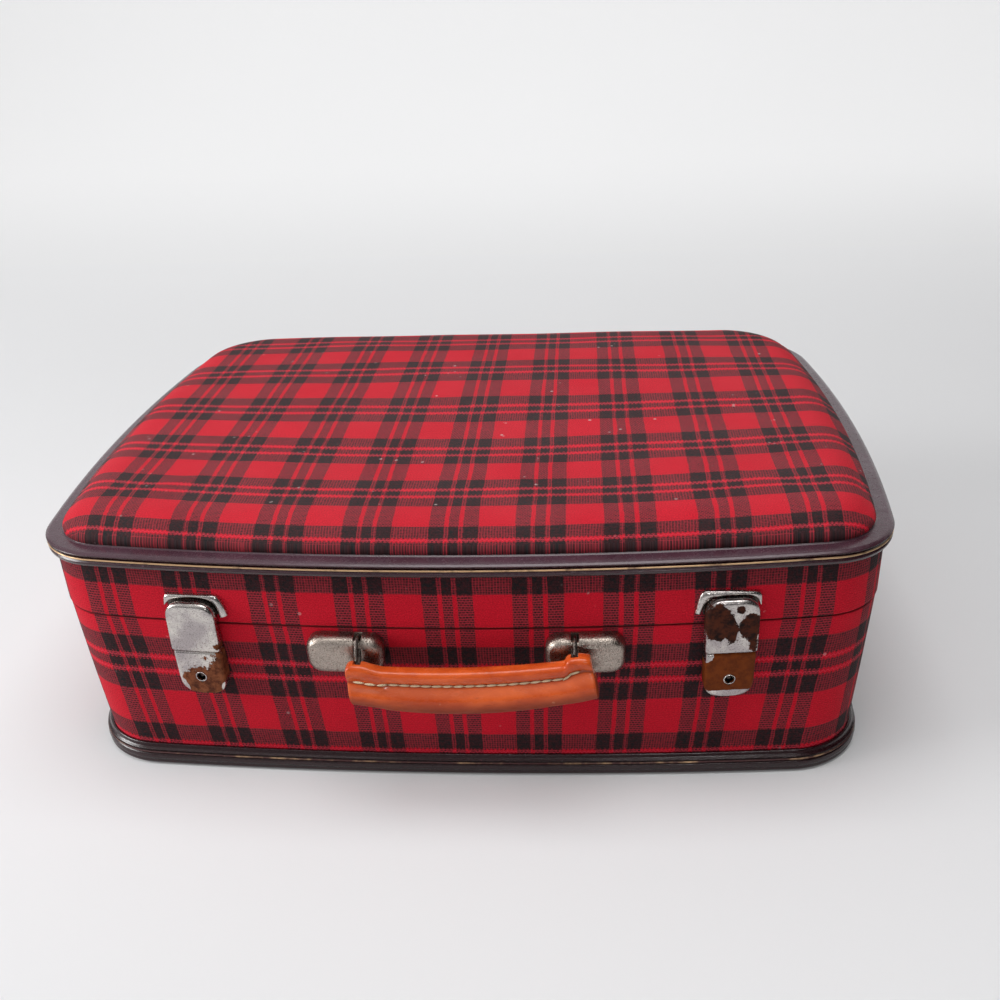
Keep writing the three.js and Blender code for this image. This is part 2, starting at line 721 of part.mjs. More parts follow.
function buildLatch(side, sign) {
  const x = latchShift + (sign * latchSpacing) / 2;
  const wallY = frontWallY(x, latchJointHeight);
  const toe = frontWallY(x, latchFootHeight);
  const run = frontWallY(x + latchWidth, latchJointHeight) - frontWallY(x - latchWidth, latchJointHeight);
  const turn = Math.atan2(run, 2 * latchWidth);
  const lean = Math.atan2(toe - wallY, latchJointHeight - latchFootHeight);
  const holder = new THREE.Group();
  holder.position.set(x, wallY, latchJointHeight);
  holder.rotation.set(lean, 0, turn, 'ZYX');
  suitcase.add(holder);
  const foot = -latchCaseHeight;
  const pinY = -latchPinOut;
  const half = latchWidth / 2;

  // Backplate with two ears that carry the pin
  const plateOut = seatGap + latchPlateThickness;
  const plate = tongueShape(
    latchWidth - 2 * latchPlateMargin,
    foot + latchPlateMargin,
    latchJointDrop - partingGap,
    latchFootRadius,
    false,
  );
  const earIn = half - earInset - earThickness;
  const earOut = half - earInset;
  const ears = [-1, 1].flatMap((hand) => {
    const [x0, x1] = [hand * earIn, hand * earOut].sort((a, b) => a - b);
    return [
      block(x0, x1, pinY, -seatGap - latchPlateThickness / 2, -latchKnuckleRadius, latchKnuckleRadius),
      barX(latchKnuckleRadius, x0, x1, pinY, 0, 12),
    ];
  });
  const pinBore = barX(latchPinRadius + pinClearance, -latchWidth, latchWidth, pinY, 0, 12);
  const backplate = join(extrudeOut(plate, seatGap, plateOut, 0), ...ears);
  place(`latch_backplate_${side}`, cut(backplate, pinBore), dullSteel(), holder);
  const pinEnd = earOut + seatGap;
  place(`latch_pin_${side}`, barX(latchPinRadius, -pinEnd, pinEnd, pinY, 0, 10), dullSteel(), holder);

  // Key case
  const caseTop = -latchKnuckleRadius - seatGap;
  const caseFrom = plateOut + seatGap;
  const caseWide = latchWidth - 2 * seatGap;
  const shell = extrudeOut(
    tongueShape(caseWide, foot, caseTop, latchFootRadius, false),
    caseFrom - latchBevel,
    latchDepth,
    latchBevel,
  );
  const innerRadius = latchFootRadius - latchWall;
  const hollow = extrudeOut(
    tongueShape(caseWide - 2 * latchWall, foot + latchWall, caseTop - latchWall, innerRadius, false),
    0,
    latchDepth - latchWall,
    0,
  );
  const trimBack = block(-latchWidth, latchWidth, -caseFrom, latchDepth, 2 * foot, -foot);
  const keyZ = -keyholeDrop;
  const slotHalf = keySlotWidth / 2;
  const keyHole = barY(keyholeRadius, 0, -latchDepth * 2, 0, keyZ, 14);
  const keySlot = block(-slotHalf, slotHalf, -latchDepth * 2, -caseFrom, keyZ - keySlotDrop, keyZ);
  place(`latch_case_${side}`, cut(shell, hollow, trimBack, keyHole, keySlot), wornChrome(), holder);
  const postFrom = -plateOut - seatGap;
  const postCollar = barY(keyPostRadius * 2, 0, postFrom - latchWall, postFrom, keyZ, 12);
  const post = barY(keyPostRadius, 0, -latchDepth + latchWall, postFrom, keyZ, 10);
  place(`latch_key_post_${side}`, join(post, postCollar), dullSteel(), holder);

  // Lock bolt, a small plate above the key post that slides up and down
  const boltFoot = keyZ + keyPostRadius * 2 + boltTravel;
  const boltFrom = plateOut + boltBackGap;
  const boltTop = Math.min(boltFoot + boltHeight, caseTop - latchWall - boltTravel - seatGap);
  place(`lock_bolt_${side}`, block(
    -boltWidth / 2,
    boltWidth / 2,
    -boltFrom - boltThickness,
    -boltFrom,
    boltFoot,
    boltTop,
  ), dullSteel(), holder);

  // Hasp: a domed cover that swings down on the pin, with a hook behind it
  const knuckleEdge = earIn - seatGap;
  const springHalf = knuckleEdge * springShare;
  const face = latchPinOut + latchKnuckleRadius;
  const cover = extrudeOut(
    tongueShape(haspWidth, 0, haspHeight, haspCornerRadius, true),
    0,
    face,
    haspBevel,
  );
  const insideWide = haspWidth - 2 * latchWall;
  const inside = extrudeOut(
    tongueShape(insideWide, -latchWall, haspHeight - latchWall, haspCornerRadius - latchWall, true),
    0,
    face - latchWall,
    0,
  );
  const leaned = cut(cover, inside);
  leaned.translate(0, latchPinOut, 0);
  leaned.rotateX(THREE.MathUtils.degToRad(-haspLean));
  leaned.translate(0, -latchPinOut, 0);
  const behind = block(-haspWidth, haspWidth, -haspBackOut, haspWidth, -haspHeight, haspHeight * 2);
  const hookHalf = hookWidth / 2;
  const hookTop = hookRise + hookHeight;
  const hookOut = face - latchWall / 2 - hookTop * Math.sin(THREE.MathUtils.degToRad(haspLean));
  const hook = join(
    block(-hookHalf, hookHalf, -hookOut, -hookOut + hookThickness, hookRise, hookTop),
    block(-hookHalf, hookHalf, -hookOut, -haspBackOut, hookTop - hookThickness, hookTop),
  );
  const knuckles = [[-knuckleEdge, -springHalf], [springHalf, knuckleEdge]].map(([x0, x1]) =>
    barX(latchKnuckleRadius, x0, x1, pinY, 0, 16));
  const relief = [
    [-springHalf, springHalf],
    [-earOut - seatGap, -earIn + seatGap],
    [earIn - seatGap, earOut + seatGap],
  ].map(([x0, x1]) => barX(latchKnuckleRadius + seatGap, x0, x1, pinY, 0, 14));
  const trimmed = cut(leaned, behind, ...relief);
  const hasp = cut(join(trimmed, hook, ...knuckles), pinBore);
  place(`hasp_${side}`, hasp, wornChrome(), holder);

  buildSpring(side, holder, springHalf - seatGap, pinY);
  buildKeeper(side, sign, x);
}

// Torsion spring round the hasp's pin, between the knuckles
const springWire = 0.3;
const springTurns = 4;
const springPinGap = 0.35;

function buildSpring(side, holder, halfLength, pinY) {
  const stepsPerTurn = 8;
  const sides = 5;
  const reach = latchPinRadius + springPinGap + springWire;
  const total = springTurns * stepsPerTurn;
  const run = 2 * (halfLength - springWire);
  const slope = run / (springTurns * Math.PI * 2 * reach);
  const rings = Array.from({ length: total + 1 }, (_, index) => {
    const turn = (index / stepsPerTurn) * Math.PI * 2;
    const outward = new THREE.Vector3(0, Math.cos(turn), Math.sin(turn));
    const forward = new THREE.Vector3(slope, -Math.sin(turn), Math.cos(turn)).normalize();
    const across = new THREE.Vector3().crossVectors(forward, outward);
    const centre = new THREE.Vector3(run * (index / total - 0.5), pinY, 0);
    centre.addScaledVector(outward, reach);
    return Array.from({ length: sides }, (_unused, corner) => {
      const angle = (corner / sides) * Math.PI * 2;
      return centre.clone()
        .addScaledVector(outward, springWire * Math.cos(angle))
        .addScaledVector(across, springWire * Math.sin(angle));
    });
  });
  const pitch = run / springTurns;
  console.log(`least gap between turns of hasp_spring_${side}: ${(pitch - 2 * springWire).toFixed(2)} mm`);
  place(`hasp_spring_${side}`, loft(rings, false), dullSteel(), holder);
}

// Keeper on the front of the lid: a plate with a hood over the hasp and a flank
// that spreads towards the handle
const keeperWidth = 26.6;
const keeperFootRise = 5;
const keeperHeight = 14.2;
const keeperThickness = 1.2;
const hoodReach = 6;
const hoodEndDrop = 3.6;
const flankSpread = 4.8;
const flankReach = 1.6;
const flankEdge = 0.8;
const flankWidth = 3.3;
const keeperBarHeight = 1.4;
const keeperBarReach = 1.6;
const keeperPlateMargin = 3;
const keeperFootHeight = rimHeight + keeperFootRise;
const keeperTopHeight = keeperFootHeight + keeperHeight;

// A slab whose four corners at each end are given
function wedge(near, far) {
  return loft([near, far], false);
}

function buildKeeper(side, sign, x) {
  const wallY = frontWallY(x, rimHeight);
  const run = frontWallY(x + latchWidth, rimHeight) - frontWallY(x - latchWidth, rimHeight);
  const holder = new THREE.Group();
  holder.position.set(x, wallY, 0);
  holder.rotation.z = Math.atan2(run, 2 * latchWidth);
  suitcase.add(holder);
  const half = keeperWidth / 2;
  const skin = lidClothProud + seatGap;
  const plateHalf = half - keeperPlateMargin;
  const top = keeperTopHeight;
  const plate = block(-plateHalf, plateHalf, -skin - keeperThickness, -skin, keeperFootHeight, top);
  const hood = block(-half, half, -skin - hoodReach, -skin, top - keeperThickness, top);
  const barZ = (keeperFootHeight + top) / 2;
  const bar = block(
    -hookWidth / 2,
    hookWidth / 2,
    -skin - keeperThickness - keeperBarReach,
    -skin - keeperThickness / 2,
    barZ - keeperBarHeight,
    barZ,
  );
  const hand = -sign;
  const endIn = half - keeperThickness;
  const hoodEnd = block(
    Math.min(-hand * endIn, -hand * half),
    Math.max(-hand * endIn, -hand * half),
    -skin - hoodReach,
    -skin,
    top - hoodEndDrop,
    top - keeperThickness / 2,
  );
  const at = (across, reach, z) => new THREE.Vector3(hand * across, -skin - reach, z);
  const high = top - keeperThickness / 2;
  const low = keeperFootHeight;
  const flankIn = haspWidth / 2 + 2 * seatGap;
  const flankOut = flankIn + keeperThickness;
  const spreadOut = flankIn + flankSpread;
  const spreadIn = spreadOut - flankWidth;
  const flank = wedge(
    [
      at(flankIn, 0, high),
      at(flankOut, 0, high),
      at(flankOut, hoodReach, high),
      at(flankIn, hoodReach, high),
    ],
    [
      at(spreadIn, 0, low),
      at(spreadOut, 0, low),
      at(spreadOut, flankEdge, low),
      at(spreadIn, flankReach, low),
    ],
  );
  const bridge = block(
    Math.min(0, hand * flankOut),
    Math.max(0, hand * flankOut),
    -skin - hoodReach,
    -skin,
    top - keeperThickness,
    top,
  );
  const keeper = join(plate, hood, bridge, bar, hoodEnd, flank);
  place(`keeper_${side}`, keeper, wornChrome(), holder);
}

// Handle: two domed plates, each with a notch crossed by a bar, a wire ring on
// each bar, and a leather grip on a steel core
const plateCentre = 4.5;
const ringCentre = 5.6;
const ringSpacing = 109;
const plateSpacing = 121.5;
const handlePlateWidth = 40;
const handlePlateHeight = 22.5;
const handlePlateDrop = 13.5;
const handlePlateRise = 9.2;
const handlePlateCorner = 8;
const handleFlange = 1;
const notchWidth = 4;
const handleBarRadius = 2.1;
const handleBarDrop = 6;
const handleBarOut = 7;
const ringWire = 1.1;
const ringSlack = 0.5;
const ringLength = 19.3;
const ringLean = 34;
const ringCant = 4.5;
const gripLength = 123;
const gripCentre = 8;
const gripThickness = 13.6;
const gripEndHeight = 21;
const gripMiddleHeight = 24.8;
const gripSag = 6;
const gripEndDrop = 0.6;
const gripEndLift = 4.6;
const gripEndReach = 2.6;
const slotWidth = 7.4;
const loopWall = 1.4;
const loopRise = 7;
const coreRadius = 2.1;
const journalRun = 14;

const handlePlateCentre = rimHeight - handlePlateDrop;
const handleBarHeight = rimHeight - handleBarDrop;
const barAxisY = frontWallY(ringCentre + ringSpacing / 2, handleBarHeight) - handleBarOut;
const leanAngle = THREE.MathUtils.degToRad(ringLean);
const journal = {
  y: barAxisY - ringLength * Math.sin(leanAngle),
  z: handleBarHeight - ringLength * Math.cos(leanAngle),
};

// Rounded rectangle as a ring of points, drawn in by an inset
function roundedRing(halfWidth, halfHeight, radius, inset) {
  const steps = 4;
  const corners = [[1, 1, 0], [-1, 1, 1], [-1, -1, 2], [1, -1, 3]];
  return corners.flatMap(([signX, signZ, quarter]) =>
    Array.from({ length: steps + 1 }, (_, index) => {
      const angle = (quarter + index / steps) * (Math.PI / 2);
      const reach = radius - inset;
      return [
        signX * (halfWidth - radius) + reach * Math.cos(angle),
        signZ * (halfHeight - radius) + reach * Math.sin(angle),
      ];
    }));
}

const domeRows = [
  { insetShare: 0, outShare: 0 },
  { insetShare: 0, outShare: 0.45 },
  { insetShare: 0.08, outShare: 0.72 },
  { insetShare: 0.3, outShare: 0.92 },
  { insetShare: 0.72, outShare: 1 },
];

function buildHandlePlate(side, sign) {
  const x = plateCentre + (sign * plateSpacing) / 2;
  const ringX = ringCentre + (sign * ringSpacing) / 2;
  const halfWidth = handlePlateWidth / 2;
  const halfHeight = handlePlateHeight / 2;
  const rings = domeRows.map(({ insetShare, outShare }) =>
    roundedRing(halfWidth, halfHeight, handlePlateCorner, insetShare * handlePlateCorner).map(([u, v]) => {
      const z = handlePlateCentre + v;
      const out = seatGap + outShare * handlePlateRise;
      return new THREE.Vector3(x + u, frontWallY(x + u, z) - out, z);
    }));
  const notchFloor = Math.min(
    frontWallY(ringX, handlePlateCentre + halfHeight),
    frontWallY(ringX, handlePlateCentre),
  ) - seatGap - handleFlange;
  const notch = block(
    ringX - notchWidth / 2,
    ringX + notchWidth / 2,
    notchFloor - handlePlateRise * 2,
    notchFloor,
    handlePlateCentre - handlePlateHeight,
    handlePlateCentre + handlePlateHeight,
  );
  const barHalf = notchWidth;
  const bar = barX(handleBarRadius, ringX - barHalf, ringX + barHalf, barAxisY, handleBarHeight, 12);
  place(`handle_plate_${side}`, join(cut(loft(rings, false), notch), bar), wornChrome());
}

// Wire ring: two half circles joined by straight runs, round the bar above and
// the core of the grip below
function buildRing(side, sign) {
  const x = ringCentre + (sign * ringSpacing) / 2;
  const bend = handleBarRadius + ringSlack + ringWire;
  const sides = 8;
  const halfTurn = 8;
  const runSteps = 4;
  const path = [];
  for (let index = 0; index <= halfTurn; index += 1) {
    path.push([(index / halfTurn) * Math.PI, 0]);
  }
  for (let index = 1; index < runSteps; index += 1) {
    path.push([Math.PI, index / runSteps]);
  }
  for (let index = 0; index <= halfTurn; index += 1) {
    path.push([Math.PI + (index / halfTurn) * Math.PI, 1]);
  }
  for (let index = runSteps - 1; index > 0; index -= 1) {
    path.push([Math.PI * 2, index / runSteps]);
  }
  const rings = path.map(([angle, dropShare]) => {
    const outward = new THREE.Vector3(0, Math.cos(angle), Math.sin(angle));
    const centre = outward.clone().multiplyScalar(bend);
    centre.x += ringCant * dropShare ** 3;
    centre.z -= dropShare * ringLength;
    return Array.from({ length: sides }, (_, index) => {
      const turn = (index / sides) * Math.PI * 2;
      const point = centre.clone().addScaledVector(outward, ringWire * Math.cos(turn));
      point.x += ringWire * Math.sin(turn);
      return point;
    });
  });
  const geometry = loft(rings, true);
  const piece = place(`handle_ring_${side}`, geometry, dullSteel());
  piece.position.set(x, barAxisY, handleBarHeight);
  piece.rotation.x = -leanAngle;
}

// Cross-section of the leather: a small roll above and a full bulge below, as
// shares of half the thickness and half the height
const gripSectionShares = [
  [0.3, 1], [0.58, 0.84], [0.6, 0.56], [0.48, 0.36], [0.8, 0.14], [1, -0.2], [0.94, -0.62], [0.6, -0.92],
  [0, -1], [-0.6, -0.92], [-0.94, -0.62], [-1, -0.2], [-0.8, 0.14], [-0.48, 0.36], [-0.6, 0.56],
  [-0.58, 0.84], [-0.3, 1],
];

function gripMiddle(share) {
  const sag = gripSag * (1 - (2 * share - 1) ** 2);
  return THREE.MathUtils.lerp(-gripEndDrop, gripEndLift, share) - sag;
}

function corePath(radius) {
  const half = ringSpacing / 2;
  const flat = half - journalRun;
  const end = half + gripEndReach;
  const spots = [
    [-end, 0], [-flat, 0], [-flat / 2, gripMiddle(0.3) / 2], [0, gripMiddle(0.5) / 2],
    [flat / 2, gripMiddle(0.7) / 2], [flat, 0], [end, 0],
  ];
  const line = spots.map(([u, v]) => new THREE.Vector3(u, 0, v));
  const path = new THREE.CatmullRomCurve3(line, false, 'centripetal');
  const round = new THREE.Shape().absarc(0, 0, radius, 0, Math.PI * 2, false);
  const solid = new THREE.ExtrudeGeometry(round, { steps: 20, extrudePath: path, curveSegments: 5 });
  return solid.translate(ringCentre + ringCant, journal.y, journal.z);
}

function buildGrip() {
  const stations = 10;
  const sections = Array.from({ length: stations + 1 }, (_, index) => {
    const share = index / stations;
    const x = gripCentre + (share - 0.5) * gripLength;
    const full = 1 - (2 * share - 1) ** 2;
    const halfHeight = THREE.MathUtils.lerp(gripEndHeight, gripMiddleHeight, full) / 2;
    const middle = gripMiddle(share);
    return gripSectionShares.map(([out, up]) => new THREE.Vector3(
      x,
      journal.y + (out * gripThickness) / 2,
      journal.z + middle + up * halfHeight,
    ));
  });
  // A raised loop of leather in front of each ring, and a slot behind it for the
  // ring's lower bend, open above and at the back
  const slotOut = handleBarRadius + 2 * ringSlack + 2 * ringWire;
  const loopOut = slotOut + loopWall;
  const loopHalf = slotWidth / 2 + loopWall;
  const spots = [-1, 1].map((sign) => ringCentre + ringCant / 2 + (sign * ringSpacing) / 2);
  const loops = spots.flatMap((x) => [
    barX(loopOut, x - loopHalf, x + loopHalf, journal.y, journal.z, 20),
    block(
      x - loopHalf,
      x + loopHalf,
      journal.y - loopOut,
      journal.y - slotOut + loopWall / 2,
      journal.z,
      journal.z + loopRise,
    ),
  ]);
  const slots = spots.map((x) => block(
    x - slotWidth / 2,
    x + slotWidth / 2,
    journal.y - slotOut,
    journal.y + gripThickness,
    journal.z - slotOut,
    journal.z + gripMiddleHeight * 2,
  ));
  const body = join(loft(sections, false), ...loops);
  const leather = cut(body, ...slots, corePath(coreRadius + seatGap));
  place('handle_grip', leather, tanLeather());
  place('handle_core', corePath(coreRadius), dullSteel());
}

buildBase();
buildFootBinding();
buildLid();
buildLidBinding();
buildCrown();
[['left', -1], ['right', 1]].forEach(([side, sign]) => {
  buildHinge(side, (sign * hingeSpacing) / 2);
  buildLatch(side, sign);
  buildHandlePlate(side, sign);
  buildRing(side, sign);
});
buildStays();
buildGrip();

export default suitcase;
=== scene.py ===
# %% [markdown]
# # A small checked suitcase
# Two shallow shells of board, covered in red checked cloth, with plastic
# binding, two key latches, a leather handle and a padded lid. This lesson
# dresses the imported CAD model: each surface is worked out with numpy and gets
# a finish made of nodes.

# %% Load the frame
import math

import bmesh
import bpy
import numpy as np
from mathutils import Matrix


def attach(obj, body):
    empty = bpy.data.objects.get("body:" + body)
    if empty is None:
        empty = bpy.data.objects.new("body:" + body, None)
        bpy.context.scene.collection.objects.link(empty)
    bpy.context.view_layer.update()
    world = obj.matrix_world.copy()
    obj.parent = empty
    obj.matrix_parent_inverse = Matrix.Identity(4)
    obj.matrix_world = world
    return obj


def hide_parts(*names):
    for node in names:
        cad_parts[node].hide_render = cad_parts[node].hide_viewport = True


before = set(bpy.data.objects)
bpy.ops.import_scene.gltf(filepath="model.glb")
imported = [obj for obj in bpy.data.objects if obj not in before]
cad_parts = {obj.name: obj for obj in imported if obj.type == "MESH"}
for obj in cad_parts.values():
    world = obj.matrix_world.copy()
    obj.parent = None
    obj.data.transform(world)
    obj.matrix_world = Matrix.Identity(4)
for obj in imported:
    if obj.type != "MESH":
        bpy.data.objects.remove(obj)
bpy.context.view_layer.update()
stage = bpy.context.scene
MM = 0.001
SIDES = ("left", "right")

# %% [markdown]
# ## Camera
# The camera stands a little to the right of the middle, 62 cm in front of the
# case and 39 cm above the floor. Its axes were solved from measured corners
# of the case, so they are written as a rotation and not as guessed angles.

# %% Make the camera
CAMERA_SPOT = (0.06493655, -0.6166373, 0.3942222)
CAMERA_RIGHT = (0.99695444, 0.06627504, -0.04110313)
CAMERA_UP = (0.00716099, 0.44703268, 0.89448896)
CAMERA_LENS = 38.69


def place_object(name, data, spot, right, up):
    """A new object whose own X and Y axes point right and up."""
    holder = bpy.data.objects.new(name, data)
    stage.collection.objects.link(holder)
    turn = np.eye(4)
    turn[:3] = np.stack([right, up, np.cross(right, up), spot], 1)
    holder.matrix_world = Matrix(turn.tolist())
    return holder


lens = bpy.data.cameras.new("camera")
camera = place_object("camera", lens, CAMERA_SPOT, CAMERA_RIGHT, CAMERA_UP)
lens.sensor_width, lens.lens, lens.clip_end = 36.0, CAMERA_LENS, 20.0
stage.camera = camera
print("camera", round(math.degrees(camera.matrix_world.to_euler().x)), "degrees from straight down")

# %% [markdown]
# ## Outline of the case
# Seen from above, each side and each corner is one arc, and the arcs meet
# without a kink. Two circles fix a quarter, the side's and the end's, and the
# corner's circle touches both from inside: its centre lies where two circles
# of reduced radius cross. The foot is drawn in, with an outline of its own.

# %% Work out the arcs
CASE_WIDTH, CASE_DEPTH, RIM, LID_HEIGHT = 448.0, 334.0, 98.0, 39.0
FLANGE_TOP = RIM + LID_HEIGHT
CROWN_RISE = 16.5
# Half the width and the side's bow, then for the back and for the front how
# far it reaches, its bow and the radius of its corners.
HALF_WIDTH, HALF_DEPTH = CASE_WIDTH / 2, CASE_DEPTH / 2
RIM_ARCS = (HALF_WIDTH, 14.0, (HALF_DEPTH, 1.0, 53.0), (HALF_DEPTH, 18.0, 36.0))
FOOT_ARCS = (HALF_WIDTH - 8.0, 8.0, (HALF_DEPTH - 7.0, 1.0, 53.0), (HALF_DEPTH - 9.5, 9.0, 40.0))
SIDE_STEPS, CORNER_STEPS, END_STEPS = 14, 16, 26


def stacked(*parts):
    """Parts brought to one shape, as the last axis of one array."""
    return np.stack(np.broadcast_arrays(*parts), -1)


def around(count):
    """Angles of a full turn, evenly spread."""
    return np.linspace(0, 2 * math.pi, count, endpoint=False)


def quarter(half_width, side_bow, half_depth, end_bow, corner_radius):
    """Points and outward normals of a quarter outline, from the middle of the
    side to the middle of the end, worked out as x + iy: point = centre +
    radius * e^(ia), with a rising over the side's arc, the corner's and the
    end's."""
    end_radius = (half_width**2 + end_bow**2) / (2 * end_bow)
    side_radius = (half_depth**2 + side_bow**2) / (2 * side_bow)
    end, side = 1j * (half_depth - end_radius), half_width - side_radius
    to_end, to_side, span = end_radius - corner_radius, side_radius - corner_radius, side - end
    along = (to_end**2 - to_side**2 + abs(span) ** 2) / (2 * abs(span))
    corner = end + span / abs(span) * (along - 1j * math.sqrt(to_end**2 - along**2))
    side_angle, end_angle = np.angle([corner - side, corner - end])
    arcs = (
        (side, side_radius, 0.0, side_angle, SIDE_STEPS),
        (corner, corner_radius, side_angle, end_angle, CORNER_STEPS),
        (end, end_radius, end_angle, math.pi / 2, END_STEPS + 1),
    )
    spots, normals = [], []
    for centre, radius, start, stop, count in arcs:
        angle = np.linspace(start, stop, count, endpoint=count > END_STEPS)
        normals.append(np.exp(1j * angle))
        spots.append(centre + radius * normals[-1])
    return [stacked(line.real, line.imag) for line in map(np.concatenate, (spots, normals))]


def case_outline(half_width, side_bow, *ends):
    """The four quarters joined, from the middle of the back to the left, the
    front, the right and round to the back again, and their normals."""
    back, front = (quarter(half_width, side_bow, *end) for end in ends)
    return [
        np.concatenate([b[:0:-1] * (-1, 1), f[:-1] * (-1, -1), f[:0:-1] * (1, -1), b[:-1]])
        for b, f in zip(back, front)
    ]


RIM_PLAN, FOOT_PLAN = case_outline(*RIM_ARCS), case_outline(*FOOT_ARCS)
COLUMNS = len(RIM_PLAN[0])


def wall_rings(inset, height):
    """A ring of points, in mm, for each inset and height: the mix of foot and
    rim by height / rim, moved inwards along its normals by the inset."""
    inset, height = (np.atleast_1d(value).astype(float)[:, None, None] for value in (inset, height))
    share = np.clip(height / RIM, 0, 1)
    spot, normal = (foot * (1 - share) + rim * share for foot, rim in zip(FOOT_PLAN, RIM_PLAN))
    flat = spot - normal * (inset / np.linalg.norm(normal, axis=2, keepdims=True))
    return stacked(flat[..., 0], flat[..., 1], height[..., 0])


def drawn_in(ring, q):
    """Copies of a ring, with x and y multiplied by one q each."""
    return ring * stacked(q, q, 1.0)[:, None]


# GIRTH is the distance along the rim from the middle of the front, negative
# to the left, with one value more than there are columns, for the seam.
steps = np.linalg.norm(np.roll(RIM_PLAN[0], -1, 0) - RIM_PLAN[0], axis=1)
GIRTH = np.append(0, steps.cumsum()) - steps[:COLUMNS // 2].sum()
print(COLUMNS, "points round the case,", round(GIRTH[-1] - GIRTH[0]), "mm round the rim")

# %% [markdown]
# ## From a grid of points to a mesh
# Every surface is a grid: rows of points that run round the case or along a
# piece. One helper closes it round its columns and, where asked, its rows, and
# closes open ends with a fan. Pattern coordinates have one column more than
# the points, so that a pattern does not run backwards over the seam.

# %% Turn grids into meshes
def grid_faces(rows, columns, round_columns, round_rows):
    """The corners of each face, as points and as pattern coordinates, which
    never wrap."""
    row, column = np.meshgrid(
        np.arange(rows if round_rows else rows - 1),
        np.arange(columns if round_columns else columns - 1),
        indexing="ij",
    )
    corners = ((0, 0), (0, 1), (1, 1), (1, 0))
    wide = columns + (1 if round_columns else 0)
    points = [((row + r) % rows) * columns + (column + c) % columns for r, c in corners]
    pattern = [(row + r) * wide + column + c for r, c in corners]
    return np.stack(points, -1).reshape(-1, 4), np.stack(pattern, -1).reshape(-1, 4)


def mesh_piece(name, points, faces, pattern=None, smooth=True):
    """A new object from points in millimetres. pattern is a pair in metres
    for each corner of each face."""
    mesh = bpy.data.meshes.new(name)
    mesh.from_pydata((np.asarray(points) * MM).tolist(), [], faces)
    if pattern is not None:
        layer = mesh.uv_layers.new(name="cloth")
        layer.data.foreach_set("uv", np.asarray(pattern, dtype=np.float32).ravel())
    mesh.polygons.foreach_set("use_smooth", np.full(len(mesh.polygons), smooth))
    mesh.update()
    piece = bpy.data.objects.new(name, mesh)
    stage.collection.objects.link(piece)
    return piece


def outward(piece):
    """Turns the faces of a closed piece outwards if its volume is negative."""
    shell = bmesh.new()
    shell.from_mesh(piece.data)
    if shell.calc_volume(signed=True) < 0:
        piece.data.flip_normals()
    shell.free()
    return piece


def grid_piece(name, grid, pattern=None, closed=False, smooth=True):
    """A piece from rows that run round. A closed one joins its last row to its
    first, and any other gets a fan of triangles over each end."""
    rows, columns = grid.shape[:2]
    points = grid.reshape(-1, 3)
    faces, corners = grid_faces(rows, columns, True, closed)
    faces = faces.tolist()
    uv = None if pattern is None else pattern.reshape(-1, 2)[corners].reshape(-1, 2)
    step = np.arange(columns)
    for row, order in () if closed else ((0, -1), (rows - 1, 1)):
        fan = stacked(row * columns + step, row * columns + (step + 1) % columns, len(points))
        faces += fan[:, ::order].tolist()
        points = np.append(points, grid[row].mean(0)[None], 0)
        if uv is not None:
            ring = pattern[row]
            fan = np.stack([ring[:-1], ring[1:], np.tile(ring[:-1].mean(0), (columns, 1))], 1)
            uv = np.append(uv, fan[:, ::order].reshape(-1, 2), 0)
    return outward(mesh_piece(name, points, faces, uv, smooth))


def dress(piece, body, material, slot, *nodes):
    """Gives a piece its finish, its body and the nodes it stands for; slot is not used."""
    piece.data.materials.clear()
    piece.data.materials.append(material)
    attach(piece, body)
    if nodes:
        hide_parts(*nodes)
    print(f"{piece.name}: {len(piece.data.polygons)} faces on {body}")
    return piece


def rounded(profile, radii, steps=4):
    """Each corner p of a closed outline becomes a curve from p + r a to
    p + r b, where a and b point to its neighbours and r is limited to 0.45 of
    the shorter edge: (1-t)^2 start + 2t(1-t) p + t^2 stop."""
    corner = np.asarray(profile, float)[:, None]
    sides = [np.roll(corner, turn, 0) - corner for turn in (1, -1)]
    lengths = [np.linalg.norm(side, axis=2, keepdims=True) for side in sides]
    reach = np.minimum(np.reshape(radii, (-1, 1, 1)), 0.45 * np.minimum(*lengths))
    start, stop = (corner + side * (reach / length) for side, length in zip(sides, lengths))
    t = np.linspace(0, 1, steps + 1)[:, None]
    curve = (1 - t) ** 2 * start + 2 * t * (1 - t) * corner + t**2 * stop
    return curve.reshape(-1, 2)


# %% [markdown]
# ## Node helpers
# A finish is a small network of nodes. A Wire stands for an output of a node,
# and + - * / on it add Math nodes, so that a network reads like a formula. A
# Net adds the other nodes to one tree. Node groups hold what several finishes
# share, and put out colours, masks and heights only.

# %% Wrap sockets and trees
def joined(operation, turned=False):
    """A method that joins a wire and a value by a Math node."""
    if turned:
        return lambda wire, other: wire.net.math(operation, other, wire)
    return lambda wire, *others: wire.net.math(operation, wire, *others)


